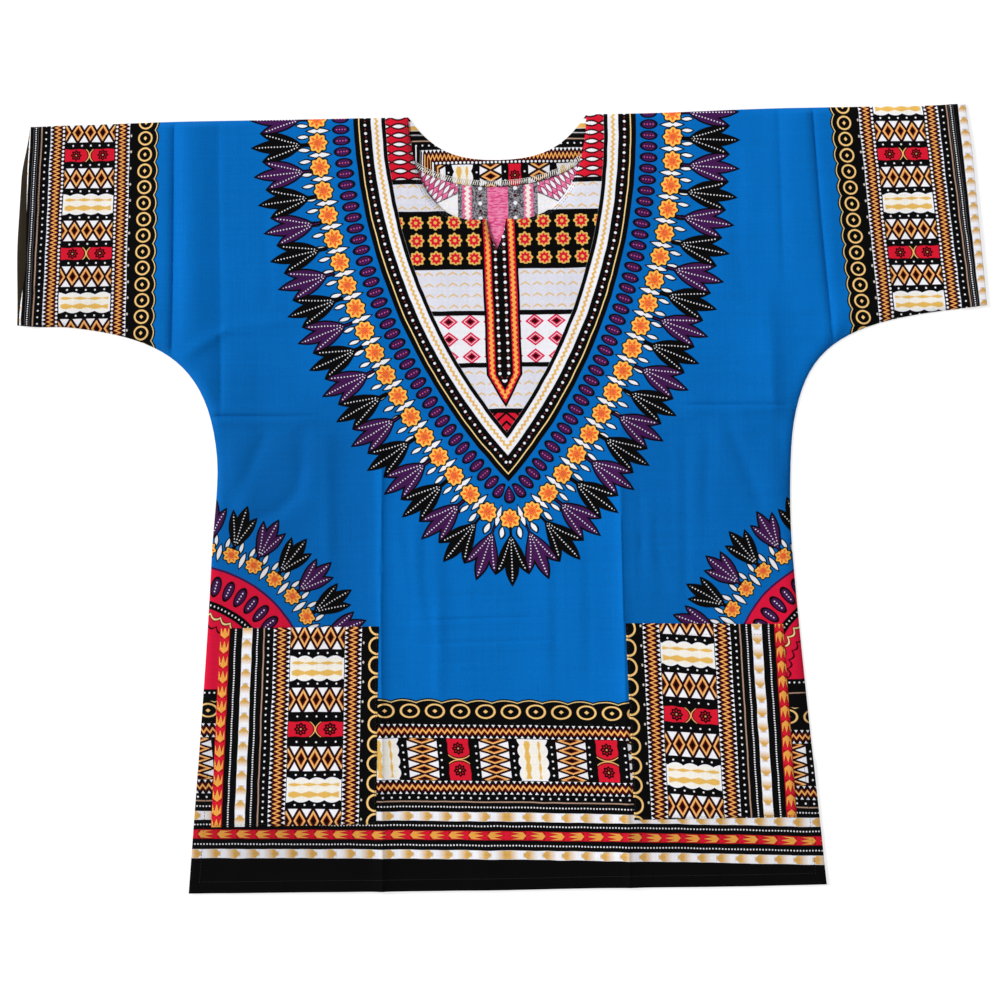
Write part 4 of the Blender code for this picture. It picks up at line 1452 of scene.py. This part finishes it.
def layPocket(mesh):
    # each point as far above the laid front as it stands above the plain one
    for vert in mesh.verts:
        x, y, z = vert.co
        stand = z - dropOn(plainFront, x, y)[0].z
        x, y = (value * mm for value in pocketPlace(x / mm, y / mm))
        vert.co = (x, y, dropOn(frontTree, x, y)[0].z + stand - pocket["sink"] * mm)


def rollPocketRim(mesh):
    rims = rimPoints(mesh)
    rimTree = nearestTree(rims)
    for vert in mesh.verts:
        found, _, away = rimTree.find((vert.co.x, vert.co.y, 0))
        if found[1] > (pocketLay["topY"] - pocket["mouthDeep"]) * mm:
            vert.co.z -= edges["rimDrop"] * eased(away / mm, pocket["mouthRoll"]) * mm
        else:
            vert.co.z -= pocket["roll"] * eased(away / mm, pocket["rollWide"]) * mm
        if abs(pocketLay["topY"] * mm - vert.co.y) < pocket["mouthHem"] * mm:
            vert.co.z += pocket["mouthRise"] * mm


pocketMeshes = {}
for side in ("left", "right"):
    mesh = panelMesh("pocket_" + side, pocket["cuts"])
    smoothRise(mesh, pocket["smoothing"])
    layPocket(mesh)
    rollPocketRim(mesh)
    slots = ("pocket", "wrong")
    panelPiece(mesh, "pocket_cloth_" + side, "pocket_" + side, slots, pocket["thick"])
    pocketMeshes[side] = mesh
print("panels cut")


# ---- sewing: rows of small stitches that sit on the cloth

def thread(name, colour):
    dye = Dye(name)
    twist = dye.speckle(dye.place(), 2500, 1.0)
    colour = dye.mix(colour, dye.mix(colour, inks["black"], 0.3), twist)
    bump = dye.strand("ShaderNodeBump", inputs={"Strength": 0.3, "Distance": 0.00005, "Height": twist})
    return dye.surface({"Base Color": colour, "Roughness": 0.6, "Normal": bump})


threads = {
    "black": thread("blackThread", srgb(16, 15, 17)),
    "cream": thread("creamThread", srgb(243, 240, 233)),
    "grey": thread("greyThread", srgb(92, 88, 90)),
}


def rimLoop(mesh):
    # the panel's edge as one ordered, anticlockwise run of points
    links = {}
    for edge in mesh.edges:
        if edge.is_boundary:
            a, b = edge.verts
            links.setdefault(a, []).append(b)
            links.setdefault(b, []).append(a)
    start = next(iter(links))
    loop, last, here = [start], None, start
    while True:
        ahead = next(vert for vert in links[here] if vert is not last)
        last, here = here, ahead
        if here is start:
            break
        loop.append(here)
    points = [Vector((vert.co.x, vert.co.y, 0)) for vert in loop]
    turn = sum(a.x * b.y - a.y * b.x for a, b in zip(points, points[1:] + points[:1]))
    return points if turn > 0 else points[::-1]


def rowAlong(points, pitch):
    # places every pitch millimetres round a closed run of points, each with its direction
    places, left = [], 0.0
    for a, b in zip(points, points[1:] + points[:1]):
        length = (b - a).length
        while left < length:
            places.append((a.lerp(b, left / length), (b - a).normalized()))
            left += pitch * mm
        left -= length
    return places


def rowAt(mesh, inset, pitch, middle=0, inner=-1, outer=1000, low=-1000, high=1000, least=-2):
    # a row that follows the panel's edge, inset millimetres in: between inner and outer to the side of
    # middle, between two heights, and where the edge runs towards +X by at least the share that is given
    rims = nearestTree(rimPoints(mesh))
    row = []
    for place, ahead in rowAlong(rimLoop(mesh), pitch):
        kept = inner < abs(place.x / mm - middle) < outer and low < place.y / mm < high and ahead.x > least
        stitch = place + Vector((-ahead.y, ahead.x, 0)) * (inset * mm)
        if kept and rims.find(stitch)[2] > (inset - sewing["slack"]) * mm:
            row.append((stitch, ahead))
    return row


def sewn(name, thread, rows, tree, long, wide, high, slant=0.0):
    # every stitch is a small spindle, laid on the cloth below it
    mesh = bmesh.new()
    for place, ahead in rows:
        spot, up = dropOn(tree, place.x, place.y)
        if spot is None:
            continue
        if up.z < 0:
            up = -up
        across = up.cross(Matrix.Rotation(slant, 3, "Z") @ ahead).normalized()
        turn = Matrix((across.cross(up), across, up)).transposed().to_4x4()
        lean = Matrix.Translation(spot + up * (sewing["lift"] * mm)) @ turn
        size = Matrix.Diagonal((long * mm, wide * mm, high * mm, 1))
        bmesh.ops.create_icosphere(mesh, subdivisions=1, radius=1.0, matrix=lean @ size)
    for face in mesh.faces:
        face.smooth = True
    piece = objectOf(mesh, name)
    mesh.free()
    piece.data.materials.append(threads[thread])
    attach(piece, "root")
    return piece


sewing = {
    "pitch": 3.0, "slack": 0.35, "lift": 0.06, "hemInset": 11.6, "ventInset": 10.0,
    "neckInsets": (2.0, 4.2), "pocketInset": 1.9, "mouthInset": 10.5, "overlockInset": 2.9,
    "overlockPitch": 2.15, "chainInset": 5.6, "chainPitch": 2.2,
}
pitch = sewing["pitch"]
hemRows = rowAt(frontMesh, sewing["hemInset"], pitch, outer=316, high=-382)
hemRows += rowAt(frontMesh, sewing["hemInset"], pitch, inner=edges["cuffX"], low=191, high=385)
hemRows += rowAt(frontMesh, sewing["ventInset"], pitch, inner=290, low=-384, high=edges["ventTop"])
hemStitches = sewn("hem_stitches", "black", hemRows, frontTree, long=1.15, wide=0.24, high=0.2)
neckRows = []
for inset in sewing["neckInsets"]:
    neckRows += rowAt(
        frontMesh, inset, pitch, edges["neckX"], outer=edges["neckHalf"], low=edges["neckFoot"], high=386
    )
neckStitches = sewn("neck_stitches", "grey", neckRows, frontTree, long=1.3, wide=0.2, high=0.16)
mouth = pocketLay["topY"]
for side, mesh in pocketMeshes.items():
    rows = rowAt(mesh, sewing["pocketInset"], pitch, high=mouth - 4)
    rows += rowAt(mesh, sewing["mouthInset"], pitch, inner=128, outer=276, low=mouth - 3.5)
    name = "pocket_stitches_" + side
    tree = BVHTree.FromBMesh(mesh)
    sewn(name, "black", rows, tree, long=1.1, wide=0.22, high=0.2)
facingFoot = {"middle": facing["middle"], "outer": 88, "high": 350, "least": 0.25}
facingTree = BVHTree.FromBMesh(facingMesh)
serged = rowAt(facingMesh, sewing["overlockInset"], sewing["overlockPitch"], **facingFoot)
slant = math.radians(76)
overlock = sewn("facing_overlock", "cream", serged, facingTree, long=3.1, wide=0.62, high=0.3, slant=slant)
chained = rowAt(facingMesh, sewing["chainInset"], sewing["chainPitch"], **facingFoot)
chain = sewn("facing_chain", "cream", chained, facingTree, long=1.15, wide=0.36, high=0.28)
print("sewn:", len(hemRows), len(neckRows), len(serged))

for mesh in (frontMesh, backMesh, facingMesh, *pocketMeshes.values()):
    mesh.free()


def makeFloor():
    mesh = bmesh.new()
    parts = studio["floorParts"]
    bmesh.ops.create_grid(mesh, x_segments=parts, y_segments=parts, size=studio["floorHalf"])
    bmesh.ops.translate(mesh, verts=mesh.verts, vec=(0, 0, -studio["floorDrop"]))
    floor = objectOf(mesh, "floor")
    mesh.free()
    dye = Dye("paleFloor")
    colour = dye.mix(srgb(160, 160, 160), srgb(156, 156, 157), dye.speckle(dye.place(), 3, 2.0))
    floor.data.materials.append(dye.surface({
        "Base Color": colour,
        "Roughness": studio["floorRoughness"],
        "Emission Color": (1, 1, 1, 1),
        "Emission Strength": studio["floorGlow"],
    }))


makeFloor()
makeCamera()
makeLights()
